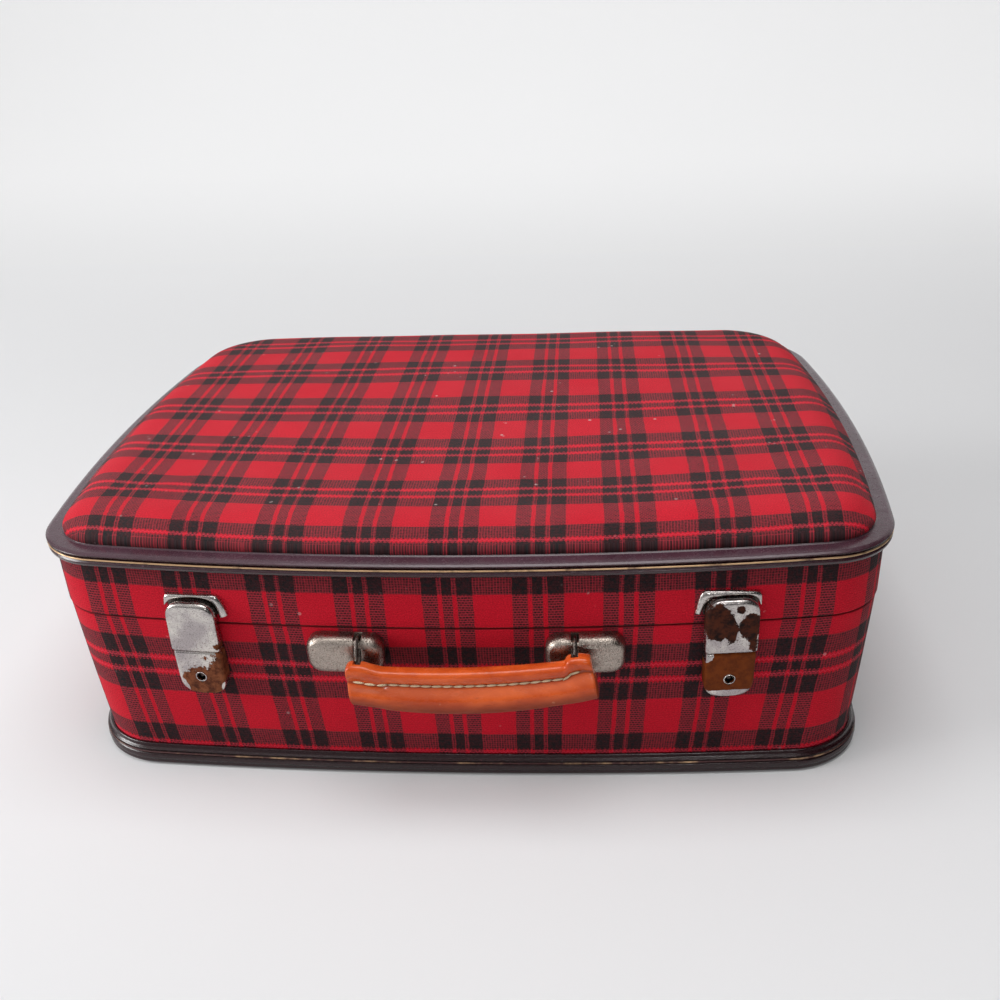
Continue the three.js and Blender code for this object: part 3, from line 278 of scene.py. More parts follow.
class Wire:
    """One output of a node, ready for formulas."""

    def __init__(self, net, socket):
        self.net, self.socket = net, socket

    __add__, __sub__, __rsub__ = joined("ADD"), joined("SUBTRACT"), joined("SUBTRACT", True)
    __mul__, __truediv__, __abs__ = joined("MULTIPLY"), joined("DIVIDE"), joined("ABSOLUTE")
    larger, pingpong, modulo = joined("MAXIMUM"), joined("PINGPONG"), joined("MODULO")
    nearest, floor, sine = joined("ROUND"), joined("FLOOR"), joined("SINE")

    def step(self, low, high):
        """0 at low, 1 at high and a smooth change between."""
        feeds = {"Value": self, "From Min": low, "From Max": high}
        return self.net.add("MapRange", feeds, interpolation_type="SMOOTHSTEP")

    def over(self, edge, soft=0.16):
        """1 over a value and 0 under it, with a soft edge."""
        return self.step(edge - soft, edge + soft)

    def between(self, first, second):
        """The first number at 0, the second at 1."""
        return self.net.add("Mix", {0: self, 2: first, 3: second}, data_type="FLOAT")

    def blend(self, first, second):
        """The first colour at 0, the second at 1."""
        return self.net.add("Mix", {0: self, 6: first, 7: second}, out=2, data_type="RGBA")


class Net:
    """Short calls that add nodes to one tree. made is the material or the
    group, and ends are the sockets that its result goes to."""

    def __init__(self, tree, made, ends):
        self.tree, self.made, self.ends = tree, made, ends

    def add(self, kind, feeds=(), out=0, **settings):
        """A node with fed inputs. out names one output, or several in a tuple."""
        node = self.tree.nodes.new("ShaderNode" + kind)
        for key, value in settings.items():
            setattr(node, key, value)
        for socket, value in dict(feeds).items():
            self.feed(node.inputs[socket], value)
        if isinstance(out, tuple):
            return [Wire(self, node.outputs[key]) for key in out]
        return Wire(self, node.outputs[out])

    def feed(self, socket, value):
        if isinstance(value, Wire):
            self.tree.links.new(value.socket, socket)
        else:
            socket.default_value = (*value, 1.0) if socket.type == "RGBA" else value

    def fill(self, **feeds):
        """Feeds the ends, where Base_Color means Base Color."""
        for name, value in feeds.items():
            self.feed(self.ends[name.replace("_", " ")], value)
        return self.made

    def math(self, operation, *values):
        return self.add("Math", dict(enumerate(values)), operation=operation)

    def noise(self, vector, scale, detail=3.0, rough=0.5):
        feeds = {"Vector": vector, "Scale": scale, "Detail": detail, "Roughness": rough}
        return self.add("TexNoise", feeds, "Fac")

    def cells(self, vector, scale):
        return self.add("TexVoronoi", {"Vector": vector, "Scale": scale}, "Distance")

    def stretch(self, vector, scale, shift=(0, 0, 0)):
        return self.add("Mapping", {"Vector": vector, "Scale": scale, "Location": shift})

    def split(self, vector):
        return self.add("SeparateXYZ", {0: vector}, (0, 1, 2))

    def toned(self, tint, value):
        """A colour made lighter or darker by a value near 1."""
        return self.add("HueSaturation", {"Color": tint, "Value": value})

    def bump(self, height, depth):
        return self.add("Bump", {"Height": height, "Distance": depth, "Strength": 1.0})

    def group(self, tree, out=0, **feeds):
        return self.add("Group", feeds, out, node_tree=tree)


def rgb(red, green, blue):
    """A colour as seen on a screen, 0 to 255, made linear for the shader."""
    share = np.array([red, green, blue]) / 255
    linear = np.where(share <= 0.04045, share / 12.92, ((share + 0.055) / 1.055) ** 2.4)
    return tuple(float(value) for value in linear)


def new_group(name, inputs, outputs):
    """An empty node group: its net, and a wire from each of its inputs."""
    tree = bpy.data.node_groups.new(name, "ShaderNodeTree")
    for side, sockets in (("INPUT", inputs), ("OUTPUT", outputs)):
        for socket, kind in sockets.items():
            tree.interface.new_socket(name=socket, in_out=side, socket_type="NodeSocket" + kind)
    start = tree.nodes.new("NodeGroupInput")
    net = Net(tree, tree, tree.nodes.new("NodeGroupOutput").inputs)
    return net, *(Wire(net, start.outputs[socket]) for socket in inputs)


def new_finish(name, viewport):
    """A material with one Principled shader: its net, and a wire with the
    Object coordinates, in metres."""
    material = bpy.data.materials.new(name)
    material.use_nodes = True
    material.diffuse_color = (*viewport, 1.0)
    tree = material.node_tree
    net = Net(tree, material, tree.nodes["Principled BSDF"].inputs)
    return net, net.add("TexCoord", out="Object")


# %% [markdown]
# ## Shared effects
# Age shows everywhere on this case: pale dust and specks on what faces up, and
# soft changes of tone where hands rubbed it.

# %% Dust and soft tone
def dust_group():
    """Specks where small cells fall close to their centre, kept to a few by a
    second noise, and a thin veil on faces that look up."""
    inputs = {"Place": "Vector", "Specks": "Float", "Veil": "Float"}
    net, place, specks, veil = new_group("dust", inputs, {"Mask": "Float"})
    rare = net.noise(place, 95.0, 2.0).step(0.62, 0.72)
    grains = net.cells(place, 160.0).step(0.2, 0.1) * rare
    up = net.split(net.add("NewGeometry", out="Normal"))[2]
    cloud = net.noise(place, 22.0, 5.0, 0.6)
    return net.fill(Mask=up.larger(0.0) * cloud * veil + grains * specks)


def tone_group():
    """A value near 1 that rises and falls slowly over the piece."""
    net, place, depth = new_group("tone", {"Place": "Vector", "Depth": "Float"}, {"Value": "Float"})
    slow, fine = net.noise(place, 14.0, 3.0, 0.55), net.noise(place, 90.0, 4.0, 0.6)
    return net.fill(Value=(fine * 0.4 + slow * 0.6 - 0.5) * depth + 1.0)


DUST, TONE = dust_group(), tone_group()
print("groups:", DUST.name, TONE.name)

# %% [markdown]
# ## Checked cloth
# Across the cloth, groups of three dark stripes repeat every 44.6 mm. Along
# it, a dark band 36 mm high repeats every 59.6 mm and is crossed by two red
# zigzag lines. Where only one of the two threads is dark, the weave shows as
# small dashes. The pattern reads its own coordinates, in metres of cloth: U
# round the case and V up.

# %% Weave the check
STRIPE_REPEAT, BAND_REPEAT = 44.6, 59.6
MIDDLE_STRIPE, SIDE_STRIPE, BAND_HALF = 2.6, (4.9, 12.7), 17.85
ZIGZAG_PLACE, ZIGZAG_HALF, ZIGZAG_SWING, ZIGZAG_PITCH = 4.75, 1.85, 0.7, 2.3
DASH_LONG, DASH_HIGH, COMB_PITCH = 1.7, 1.45, 1.45
RED, DEEP_RED = rgb(222, 22, 48), rgb(172, 10, 30)
DARK, DARK_HIGH = rgb(5, 12, 15), rgb(26, 38, 42)
ZIGZAG_RED, MIXED_RED = rgb(226, 60, 82), rgb(156, 58, 70)


def check_group():
    """The distance to the middle of the nearest repeat is
    |v - repeat * round(v / repeat)|, and stripes, band and zigzag lie between
    set distances. warp and weft say where each direction's threads are dark."""
    outputs = {"Colour": "Color", "Height": "Float", "Dark": "Float"}
    net, cloth = new_group("check_cloth", {"Cloth": "Vector"}, outputs)
    scaled = net.add("VectorMath", {0: cloth, "Scale": 1000.0}, operation="SCALE")
    sway, wander = net.noise(cloth, 260.0, 1.0), net.noise(cloth, 30.0, 2.0)
    u, v, _ = net.split(scaled)
    u = u + (sway * 0.7 + wander * 1.6 - 1.15)
    v = v + (sway * 0.5 + wander * 1.4 - 0.95)
    across = abs(u - (u / STRIPE_REPEAT).nearest() * STRIPE_REPEAT)
    along = abs(v - (v / BAND_REPEAT).nearest() * BAND_REPEAT)
    sides = across.over(SIDE_STRIPE[0]) - across.over(SIDE_STRIPE[1])
    warp = across.over(MIDDLE_STRIPE, -0.16) + sides
    band = along.over(BAND_HALF, -0.2)
    swing = u.pingpong(ZIGZAG_PITCH / 2) * (ZIGZAG_SWING * 4 / ZIGZAG_PITCH)
    line = abs(along - (swing + (ZIGZAG_PLACE - ZIGZAG_SWING)))
    weft = band * line.over(ZIGZAG_HALF, 0.2)
    thread = line.step(0.6, 0.15) * band
    shift = (v / DASH_HIGH).floor().modulo(2.0) * (DASH_LONG / 2)
    along_row = ((u + shift) / DASH_LONG).pingpong(0.5)
    across_row = (v / DASH_HIGH).pingpong(0.5)
    dash = along_row.step(0.02, 0.16).between(0.3, 1.0) * across_row.step(0.04, 0.22)
    comb = (u / COMB_PITCH).pingpong(0.5).step(0.02, 0.22).between(0.35, 1.0)
    comb = comb * across_row.step(0.03, 0.2).between(0.5, 1.0)
    one = (warp * dash).larger(weft * comb)
    fibre = net.noise(cloth, 1500.0, 3.0, 0.6)
    slub = net.noise(cloth, 520.0, 3.0, 0.7).step(0.3, 0.7).between(0.62, 1.0)
    dark = (one * slub).larger(warp * weft * slub.between(0.8, 1.0))
    red = fibre.step(0.3, 0.75).blend(DEEP_RED, RED)
    red = (abs(warp - weft) * 0.5).blend(red, MIXED_RED)
    red = (thread * 0.55).blend(red, ZIGZAG_RED)
    shade = (thread * 0.4).blend(fibre.step(0.4, 0.8).blend(DARK, DARK_HIGH), ZIGZAG_RED)
    height = fibre * 0.3 + (across_row * 0.8 + along_row * 0.6)
    return net.fill(Colour=dark.blend(red, shade), Height=height, Dark=dark)


CHECK = check_group()


def check_finish(name, specks, veil, fade):
    """Cloth: the woven check, faded a little by slow tone changes, with dust,
    and a painted shadow with a wavy edge along the gap between base and lid."""
    net, place = new_finish(name, RED)
    cloth = net.add("UVMap", uv_map="cloth")
    woven, height, dark = net.group(CHECK, ("Colour", "Height", "Dark"), Cloth=cloth)
    base = net.toned(woven, net.group(TONE, Place=place, Depth=fade))
    # Painted shadow: within about a millimetre of the gap between base and lid, with a wavy edge,
    # the cloth is darkened to rgb(40, 6, 12).
    above = abs(net.split(place)[2] - RIM * MM)
    gap_shadow_distance = net.noise(place, 60.0, 3.0, 0.6) * -0.0012 + above
    base = (gap_shadow_distance.step(0.0005, 0.0) * 0.65).blend(base, rgb(40, 6, 12))
    dust = net.group(DUST, Place=place, Specks=specks, Veil=veil)
    return net.fill(
        Base_Color=dust.blend(base, rgb(196, 184, 182)),
        Roughness=dark.between(0.86, 0.78),
        Normal=net.bump(height, 0.00022),
        Specular_IOR_Level=0.18,
        Sheen_Weight=0.03,
        Sheen_Roughness=0.45,
    )


WALL_CLOTH = check_finish("wall_cloth", 0.3, 0.02, 0.3)
CROWN_CLOTH = check_finish("crown_cloth", 0.7, 0.05, 0.3)
print("cloth finishes:", WALL_CLOTH.name, CROWN_CLOTH.name)

# %% [markdown]
# ## Cloth on the walls
# The cloth is glued to the board, so a wall is one smooth band with the
# outline's bow and a slight taper. Slow waves of a few tenths of a millimetre,
# always outwards, keep the light on it uneven.

# %% Cover the walls
CLOTH, SEAT, PARTING, LID_PROUD = 1.0, 0.3, 0.7, 0.5
FLANGE = 2.0
EDGE_ROUND = 0.9
STRIPE_SHIFT = 2.4
BASE_BAND_CENTRE, LID_BAND_CENTRE = 68.25, 136.15
BASE_RIM, LID_RIM = RIM - PARTING / 2, RIM + PARTING / 2


def wall_wave(height):
    """Slow swelling of the cloth, 0 to 0.5 mm: the product of two sines along
    the girth, half a wave up the wall."""
    along = GIRTH[:-1]
    swell = np.sin(along / 23.0 + 0.7) * np.sin(along / 57.0 + 2.1) + 0.4 * np.sin(along / 9.0)
    up = np.sin(np.clip(height / RIM, 0, 1.4) * math.pi)
    return 0.18 * (1.4 + swell)[None, :] * np.abs(up)[:, None]


def wall_band(name, outside, low, high, rows, band_centre):
    """A closed band of cloth: up its outer face, over the rounded edge, and
    down its inner face."""
    turn = np.linspace(0, math.pi / 2, 4)[1:]
    rise = EDGE_ROUND * np.sin(turn)
    over = outside + EDGE_ROUND * (1 - np.cos(turn))
    up = np.linspace(low + EDGE_ROUND, high - EDGE_ROUND, rows)
    under = (low + EDGE_ROUND - rise)[::-1]
    height = np.concatenate([under, up, high - EDGE_ROUND + rise, [high, low]])
    inset = np.concatenate([over[::-1], np.full(rows, outside), over, [CLOTH, CLOTH]])
    grid = wall_rings(inset, height)
    plan = grid[:, :, :2] - grid[:, :, :2].mean(1, keepdims=True)
    lift = wall_wave(height)
    lift[-2:] = 0
    grid[:, :, :2] += plan / np.linalg.norm(plan, axis=2)[:, :, None] * lift[:, :, None]
    rows_v = np.append(height, height[0])[:, None] - band_centre
    return grid_piece(name, grid, stacked(GIRTH + STRIPE_SHIFT, rows_v) * MM, closed=True)


base_cloth = wall_band("base_side_cloth", 0.0, FLANGE + SEAT, BASE_RIM, 30, BASE_BAND_CENTRE)
dress(base_cloth, "base", WALL_CLOTH, "cloth", "base_wall_cloth")
lid_band = LID_RIM, FLANGE_TOP - FLANGE - SEAT, 14, LID_BAND_CENTRE
lid_cloth = wall_band("lid_side_cloth", -LID_PROUD, *lid_band)
dress(lid_cloth, "lid", WALL_CLOTH, "cloth", "lid_wall_cloth")

# %% [markdown]
# ## Padded top and underside
# Over the wadding the cloth rolls up steeply from the binding, a quarter of a
# superellipse, and then rises gently to the middle. Its check is not straight:
# the cloth was pulled towards the front when it was glued, so its bands sag
# forwards in the middle by up to 17 mm. The underside is flat.

# %% Shape the top and close the underside
CROWN_EDGE, CROWN_BULGE, CROWN_ROLL = 5.9, 2.0, 24.0
CROWN_FOOT = FLANGE_TOP - FLANGE
ROLL_SHARE, ROLL_POWER = 0.89, 2.3
ROLL_ROWS, DOME_ROWS, DISC_ROWS = 18, 40, 14
BAND_SAG_AT, BAND_SAG = (-126.0, -72.0, -9.0, 63.0, 126.0), (14.0, 17.0, 12.0, 2.0, 0.0)
BAND_LINES = (-158.5, -110.2, -56.65, 1.85, 64.35, 125.7, 184.0)
STRIPE_LINES = (-222.0, -177.3, -132.0, -86.7, -42.0, 1.0, 43.7, 87.0, 133.7, 178.7, 223.0)


def crown_grid(rise):
    """Rings of the top: inset = roll * s and height = rise * 0.89 *
    (1 - (1-s)^n)^(1/n) over the roll, then rings drawn in to the middle by q,
    with height = rise * (0.89 + 0.11 * (1 - q^2)). Wadding is lumpy: slow
    sines of 0.3 mm lie over it and fade out at the edge."""
    s = 1 - np.cos(np.linspace(0, math.pi / 2, ROLL_ROWS))
    roll_height = ROLL_SHARE * (1 - (1 - s) ** ROLL_POWER) ** (1 / ROLL_POWER)
    bulge = CROWN_BULGE * np.sin(np.clip(roll_height * rise / 10.0, 0, 1) * math.pi) ** 0.7
    rolled = wall_rings(CROWN_EDGE + s * CROWN_ROLL - bulge, CROWN_FOOT + roll_height * rise)
    q = np.linspace(1, 0.02, DOME_ROWS)[1:]
    inner = drawn_in(rolled[-1:], q)
    inner[:, :, 2] = CROWN_FOOT + rise * (ROLL_SHARE + (1 - ROLL_SHARE) * (1 - q**2))[:, None]
    grid = np.concatenate([rolled, inner])
    x, y = grid[:, :, 0], grid[:, :, 1]
    lumps = np.sin(x / 31.0 + 1.3) * np.sin(y / 27.0) + 0.6 * np.sin((x + y) / 17.0 + 0.4)
    fade = np.clip((grid[:, :, 2] - CROWN_FOOT) / CROWN_RISE, 0, 1) ** 2
    grid[:, :, 2] += 0.3 * (lumps - 1.2) * fade
    return grid


def crown_pattern(grid):
    """Cloth coordinates on the top: places between the measured stripe lines
    and band lines, after the sag of the bands is taken off. Over the front
    roll the cloth goes down instead of forwards, so the drop counts as well."""
    drop = (grid[:, :, 2].max() - grid[:, :, 2]) * np.clip(-RIM_PLAN[1][None, :, 1], 0, 1)
    x, y = grid[:, :, 0], grid[:, :, 1] - drop
    sag = np.interp(y, BAND_SAG_AT, BAND_SAG) * np.clip(1 - (x / 180.0) ** 2, -0.3, 1)
    u = np.interp(x, STRIPE_LINES, (np.arange(len(STRIPE_LINES)) - 5) * STRIPE_REPEAT)
    v = np.interp(y + sag, BAND_LINES, (np.arange(len(BAND_LINES)) - 3) * BAND_REPEAT)
    return seamed(stacked(u, v))


def seamed(pattern):
    """A pattern with its first column again at the end, in metres."""
    return np.concatenate([pattern, pattern[:, :1]], 1) * MM


top = crown_grid(CROWN_RISE + FLANGE)
crown = grid_piece("lid_top_padding", top, crown_pattern(top))
dress(crown, "lid", CROWN_CLOTH, "cloth", "lid_top_cloth", "lid_top_wadding")

q = np.linspace(1, 0.03, DISC_ROWS)
under, over = (drawn_in(wall_rings(CROWN_EDGE, height), q) for height in (0.0, FLANGE))
disc = np.concatenate([under[::-1], over])
disc = grid_piece("base_under_cloth", disc, seamed(disc[:, :, :2]))
dress(disc, "base", WALL_CLOTH, "cloth", "base_bottom_cloth")

# %% [markdown]
# ## Plastic binding
# The binding is an extruded moulding, bent round the case while warm: dark
# maroon, shiny where it was rubbed, dull with dust where it was not, and with
# a thin gold line in a groove. A profile of straight runs, rounded at its
# corners and carried round the outline, gives its ridges.

# %% Mould the binding
OVERHANG, FLANGE_WIDTH = 4.9, 5.6
FOOT_BINDING, LID_BINDING = 12.6, 7.3
TRIM_RADIUS, TRIM_GAP, TRIM_SEEN = 0.75, 0.3, 0.48
FOOT_TRIM, LID_TRIM = 8.2, FLANGE_TOP - 3.4


def binding_finish(name, base, light, veil):
    """Shiny plastic: maroon, lighter on faces that look up, partly from dust and
    partly as a painted reflection of the sky, scuffed in fine streaks that raise
    its roughness."""
    net, place = new_finish(name, base)
    dust = net.group(DUST, Place=place, Specks=0.5, Veil=veil)
    scuff = net.noise(net.stretch(place, (40, 40, 900)), 8.0, 4.0, 0.7)
    return net.fill(
        Base_Color=dust.blend(net.toned(base, net.group(TONE, Place=place, Depth=0.5)), light),
        Roughness=scuff.step(0.4, 0.75).between(0.2, 0.4),
        Normal=net.bump(scuff * 0.12 + net.noise(place, 55.0, 2.0), 0.0004),
        Coat_Weight=0.2,
        Coat_Roughness=0.15,
    )


def gold_finish(name, worn_from, worn_to):
    """Thin metallised line, rubbed away where a noise is over a level."""
    net, place = new_finish(name, rgb(205, 170, 120))
    worn = net.noise(place, 60.0, 4.0, 0.7).step(worn_from, worn_to)
    return net.fill(
        Base_Color=worn.blend(rgb(214, 176, 134), rgb(70, 34, 34)),
        Metallic=worn.between(0.65, 0.1),
        Roughness=worn.between(0.3, 0.5),
    )


# The lid binding's heavy veil of lilac grey on faces that look up is partly dust and partly a
# painted reflection of the sky.
BINDING = binding_finish("maroon_plastic", rgb(44, 10, 20), rgb(112, 84, 98), 0.6)
FOOT_PLASTIC = binding_finish("foot_plastic", rgb(32, 4, 9), rgb(72, 36, 44), 0.1)
GOLD = gold_finish("gold_line", 0.5, 0.72)
RUBBED_GOLD = gold_finish("rubbed_gold_line", 0.2, 0.52)


def band_piece(name, profile, *looks):
    """A closed profile of inset and height, carried round the outline."""
    dress(grid_piece(name, wall_rings(*np.asarray(profile).T), closed=True), *looks)


def trim_profile(inset, height):
    """A circle, with the radius of the line that shows."""
    turn = around(12)
    return stacked(inset + TRIM_SEEN * np.cos(turn), height + TRIM_SEEN * np.sin(turn))


def scaled(width, foot, height, *shares):
    """Points of a profile from shares of a width and a height over a foot."""
    return [(width * across, foot + height * up) for across, up in shares]


groove = TRIM_SEEN + TRIM_GAP
foot_trim_inset = -OVERHANG + TRIM_RADIUS * 1.5
foot_profile = [
    (FLANGE_WIDTH, 0.0),
    *scaled(-OVERHANG, 0, FOOT_BINDING, (0.5, 0), (1, 0.14), (0.84, 0.27), (1, 0.36), (0.84, 0.53)),
    (foot_trim_inset + groove, FOOT_TRIM - groove),
    (foot_trim_inset + groove, FOOT_TRIM + groove),
    *scaled(-OVERHANG, 0, FOOT_BINDING, (0.8, 0.77), (0.5, 0.85), (0.32, 1)),
    (-SEAT, FOOT_BINDING),
    (-SEAT, FLANGE),
    (FLANGE_WIDTH, FLANGE),
]
foot_radii = [0.3, 1.2, 0.9, 0.5, 0.9, 0.4, 0.15, 0.15, 0.4, 0.6, 0.7, 0.2, 0.05, 0.2]
foot_trim = trim_profile(foot_trim_inset, FOOT_TRIM)
foot_profile = rounded(foot_profile, foot_radii)
band_piece("base_edge_binding", foot_profile, "base", FOOT_PLASTIC, "binding", "base_binding")
band_piece("base_gold_line", foot_trim, "base", RUBBED_GOLD, "trim", "base_trim_line")

lid_low = FLANGE_TOP - LID_BINDING
lid_trim_inset = -OVERHANG + TRIM_RADIUS
lid_profile = [
    (FLANGE_WIDTH, FLANGE_TOP - FLANGE),
    *scaled(FLANGE_WIDTH, FLANGE_TOP, FLANGE, (1, 0.2), (0.88, 0.5), (0.74, 0.15), (0.66, 0)),
    *scaled(-OVERHANG, lid_low, LID_BINDING, (0.62, 1), (1, 0.86)),
    (lid_trim_inset + groove, LID_TRIM + groove),
    (lid_trim_inset + groove, LID_TRIM - groove),
    *scaled(-OVERHANG, lid_low, LID_BINDING, (0.93, 0.25), (0.8, 0)),
    (-LID_PROUD - SEAT, lid_low),
    (-LID_PROUD - SEAT, FLANGE_TOP - FLANGE),
]
lid_radii = [0.1, 0.4, 0.6, 0.4, 0.5, 1.1, 0.5, 0.15, 0.15, 0.5, 0.6, 0.2, 0.05]
lid_profile, lid_trim = rounded(lid_profile, lid_radii), trim_profile(lid_trim_inset, LID_TRIM)
band_piece("lid_edge_binding", lid_profile, "lid", BINDING, "binding", "lid_binding")
band_piece("lid_gold_line", lid_trim, "lid", GOLD, "trim", "lid_trim_line")

# %% [markdown]
# ## Finishes for board, paper, steel and chrome
# Inside, the board is covered with pale printed paper. The fittings are plated
# steel: bright where the plating holds, brown and rough where rust lifted it.

# %% Make the plain finishes
def paper_finish(name, base, shade):
    """Lining paper: fine fibres, soft stains, and a linen print that is only
    a change of tone."""
    net, place = new_finish(name, base)
    x, y, z = net.split(net.stretch(place, (1000, 1000, 1000)))
    weave = (x + z).sine() * (y + z).sine()
    fibre = net.noise(net.stretch(place, (1, 1, 3)), 700.0, 4.0, 0.7)
    stain = net.noise(place, 9.0, 5.0, 0.6).step(0.42, 0.72)
    return net.fill(
        Base_Color=net.toned((stain * 0.45).blend(base, shade), weave * 0.05 + fibre * 0.3 + 0.85),
        Roughness=fibre.between(0.7, 0.9),
        Normal=net.bump(weave * 0.25 + fibre, 0.00008),
    )


def steel_finish(name, base, rust_from, rust_to):
    """Plated steel with a dark grain, and freckles of rust above a level of noise."""
    net, place = new_finish(name, base)
    freckle = net.noise(place, 420.0, 5.0, 0.65).step(rust_from, rust_to)
    grain = net.noise(place, 1500.0, 4.0, 0.75).step(0.4, 0.66)
    plated = net.toned(base, net.group(TONE, Place=place, Depth=0.5))
    plated = (grain * 0.5).blend(plated, rgb(70, 60, 54))
    return net.fill(
        Base_Color=freckle.blend(plated, rgb(92, 56, 34)),
        Metallic=freckle.between(1.0, 0.15),
        Roughness=freckle.between(grain.between(0.24, 0.4), 0.75),
        Normal=net.bump(grain * 0.6 + freckle, 0.00006),
    )


def flaked_finish(name, rust_low, rust_high, bias, patches, centre_x):
    """Bright chrome that has flaked off where a noise lies under a cover. The
    cover is a bias plus, for each patch, weight * (1 - d^2), where d is the
    distance from its middle (x, z) as a share of its half sizes, all in mm."""
    net, place = new_finish(name, rgb(200, 198, 196))
    cover = bias
    for x, z, half_x, half_z, weight in patches:
        shift = (-(centre_x + x) / half_x, 0.0, -z / half_z)
        away = net.stretch(place, (1 / (half_x * MM), 0.0, 1 / (half_z * MM)), shift)
        squared = net.add("VectorMath", {0: away, 1: away}, "Value", operation="DOT_PRODUCT")
        cover = (1.0 - squared).larger(0.0) * weight + cover
    depth = cover - (net.noise(place, 300.0, 8.0, 0.76) * 1.7 - 0.35)
    flaked = depth.step(-0.012, 0.012)
    speckle = net.noise(place, 1500.0, 4.0, 0.75).step(0.46, 0.66)
    cloud = net.noise(place, 55.0, 3.0, 0.6).step(0.38, 0.62)
    bright = cloud.blend(rgb(172, 164, 164), rgb(212, 206, 200))
    clean = (speckle * 0.55).blend(bright, rgb(92, 82, 82))
    clean = (depth.step(-0.06, -0.01) * 0.5).blend(clean, rgb(120, 96, 84))
    rust = net.noise(place, 240.0, 5.0, 0.7).step(0.34, 0.66).blend(rust_low, rust_high)
    return net.fill(
        Base_Color=flaked.blend(clean, rust),
        Metallic=flaked.between(1.0, 0.0),
        Roughness=flaked.between(speckle.between(0.16, 0.4), 0.7),
        Specular_IOR_Level=0.15,
        Normal=net.bump(speckle * -0.12 + 1.0 - flaked, 0.00012),
    )


LINING = paper_finish("lining_paper", rgb(206, 186, 150), rgb(150, 120, 84))
BOARD = paper_finish("grey_board", rgb(150, 122, 90), rgb(110, 86, 60))
STEEL = steel_finish("plated_steel", rgb(165, 160, 155), 0.58, 0.66)
DARK_STEEL = steel_finish("ring_steel", rgb(96, 88, 84), 0.56, 0.66)
PLATE_CHROME = steel_finish("handle_plate_chrome", rgb(176, 164, 154), 0.6, 0.72)
LATCH_LEFT_X, LATCH_RIGHT_X = -134.3, 136.7
DARK_RUST = (rgb(20, 9, 8), rgb(78, 34, 16))
RED_RUST = (rgb(72, 34, 18), rgb(134, 76, 46))
BROWN_RUST = (rgb(94, 40, 4), rgb(118, 54, 10))
HASP_LEFT = flaked_finish("hasp_chrome_left", *RED_RUST, 0.12, [(12, 88, 4, 3, 0.5)], LATCH_LEFT_X)
CASE_LEFT = flaked_finish("case_chrome_left", *RED_RUST, 0.1, [
    (0, 60, 17, 18, 1.0), (13, 74, 9, 14, 0.9), (-13, 60, 5, 7, -1.5), (12.5, 61, 3.5, 6, -1.4),
    (3, 80, 3, 2.5, 0.5),
], LATCH_LEFT_X)
HASP_RIGHT = flaked_finish("hasp_chrome_right", *DARK_RUST, 0.24, [
    (-7, 103, 9, 12, 1.0), (0, 98, 3.5, 8, 0.8), (9, 100, 6.5, 9, 0.9), (4.5, 110, 3, 3.5, 0.6),
    (11, 90, 3, 8, 0.5),
], LATCH_RIGHT_X)
CASE_RIGHT = flaked_finish("case_chrome_right", *BROWN_RUST, 0.05, [
    (0, 73, 22, 22, 1.4), (-12, 83, 5, 5, -1.6), (0, 57.5, 20, 4.2, -2.5),
], LATCH_RIGHT_X)
KEEPER_CHROME = flaked_finish("keeper_chrome", *RED_RUST, 0.12, [], 0)
print("fittings:", HASP_LEFT.name, CASE_RIGHT.name)

# %% Lining and lip
PANEL, PAPER = 3.0, 0.8
LINING_OUT = CLOTH + SEAT + PANEL + SEAT
LINING_IN = LINING_OUT + PAPER
LIP_OUT = LINING_IN + SEAT
LIP_FOOT, LIP_TOP = RIM * 0.81, RIM + 7.0


def cup_piece(name, rings, *looks):
    """Rings of inset and height, closed in the middle at both ends."""
    grid = wall_rings(*np.asarray(rings, float).T)
    q = np.linspace(0.03, 1, DISC_ROWS)[:-1]
    grid = np.concatenate([drawn_in(grid[:1], q), grid, drawn_in(grid[-1:], q[::-1])])
    dress(grid_piece(name, grid), *looks)


foot = FLANGE + SEAT + PANEL + SEAT
base_rings = [(LINING_OUT, z) for z in np.linspace(foot, BASE_RIM, 12)]
base_rings += [(LINING_IN, z) for z in np.linspace(BASE_RIM, foot + 3.0, 12)]
base_rings += [(LINING_IN + 0.7, foot + 1.4), (LINING_IN + 2.2, foot + 0.8)]
cup_piece("base_paper_lining", base_rings, "base", LINING, "lining", "base_lining")
roof = FLANGE_TOP - FLANGE - SEAT - PANEL - SEAT
lid_rings = [(LINING_OUT, roof), (LINING_OUT, LID_RIM), (LINING_IN, LID_RIM)]
lid_rings += [(LINING_IN, roof - 3.0), (LINING_IN + 0.7, roof - 1.4), (LINING_IN + 2.2, roof - 0.8)]
cup_piece("lid_paper_lining", lid_rings, "lid", LINING, "lining", "lid_lining")

lip_profile = [
    (LIP_OUT, LIP_FOOT), (LIP_OUT, BASE_RIM), (LIP_OUT + 0.6, BASE_RIM + PARTING),
    (LIP_OUT + 0.6, LIP_TOP), (LIP_OUT + 1.2, LIP_TOP), (LIP_OUT + 1.2, LIP_FOOT),
]
lip_profile = rounded(lip_profile, 0.25, 3)
band_piece("base_inner_lip", lip_profile, "base", BINDING, "binding", "base_dust_lip")

# %% [markdown]
# ## Handle
# The grip is leather folded over a steel core and sewn along its upper edge.
# Below the seam the leather bulges, above it the two edges lie flat together.
# Its sections follow a line that sags in the middle. Where a ring passes, the
# leather is cut away down to the core.

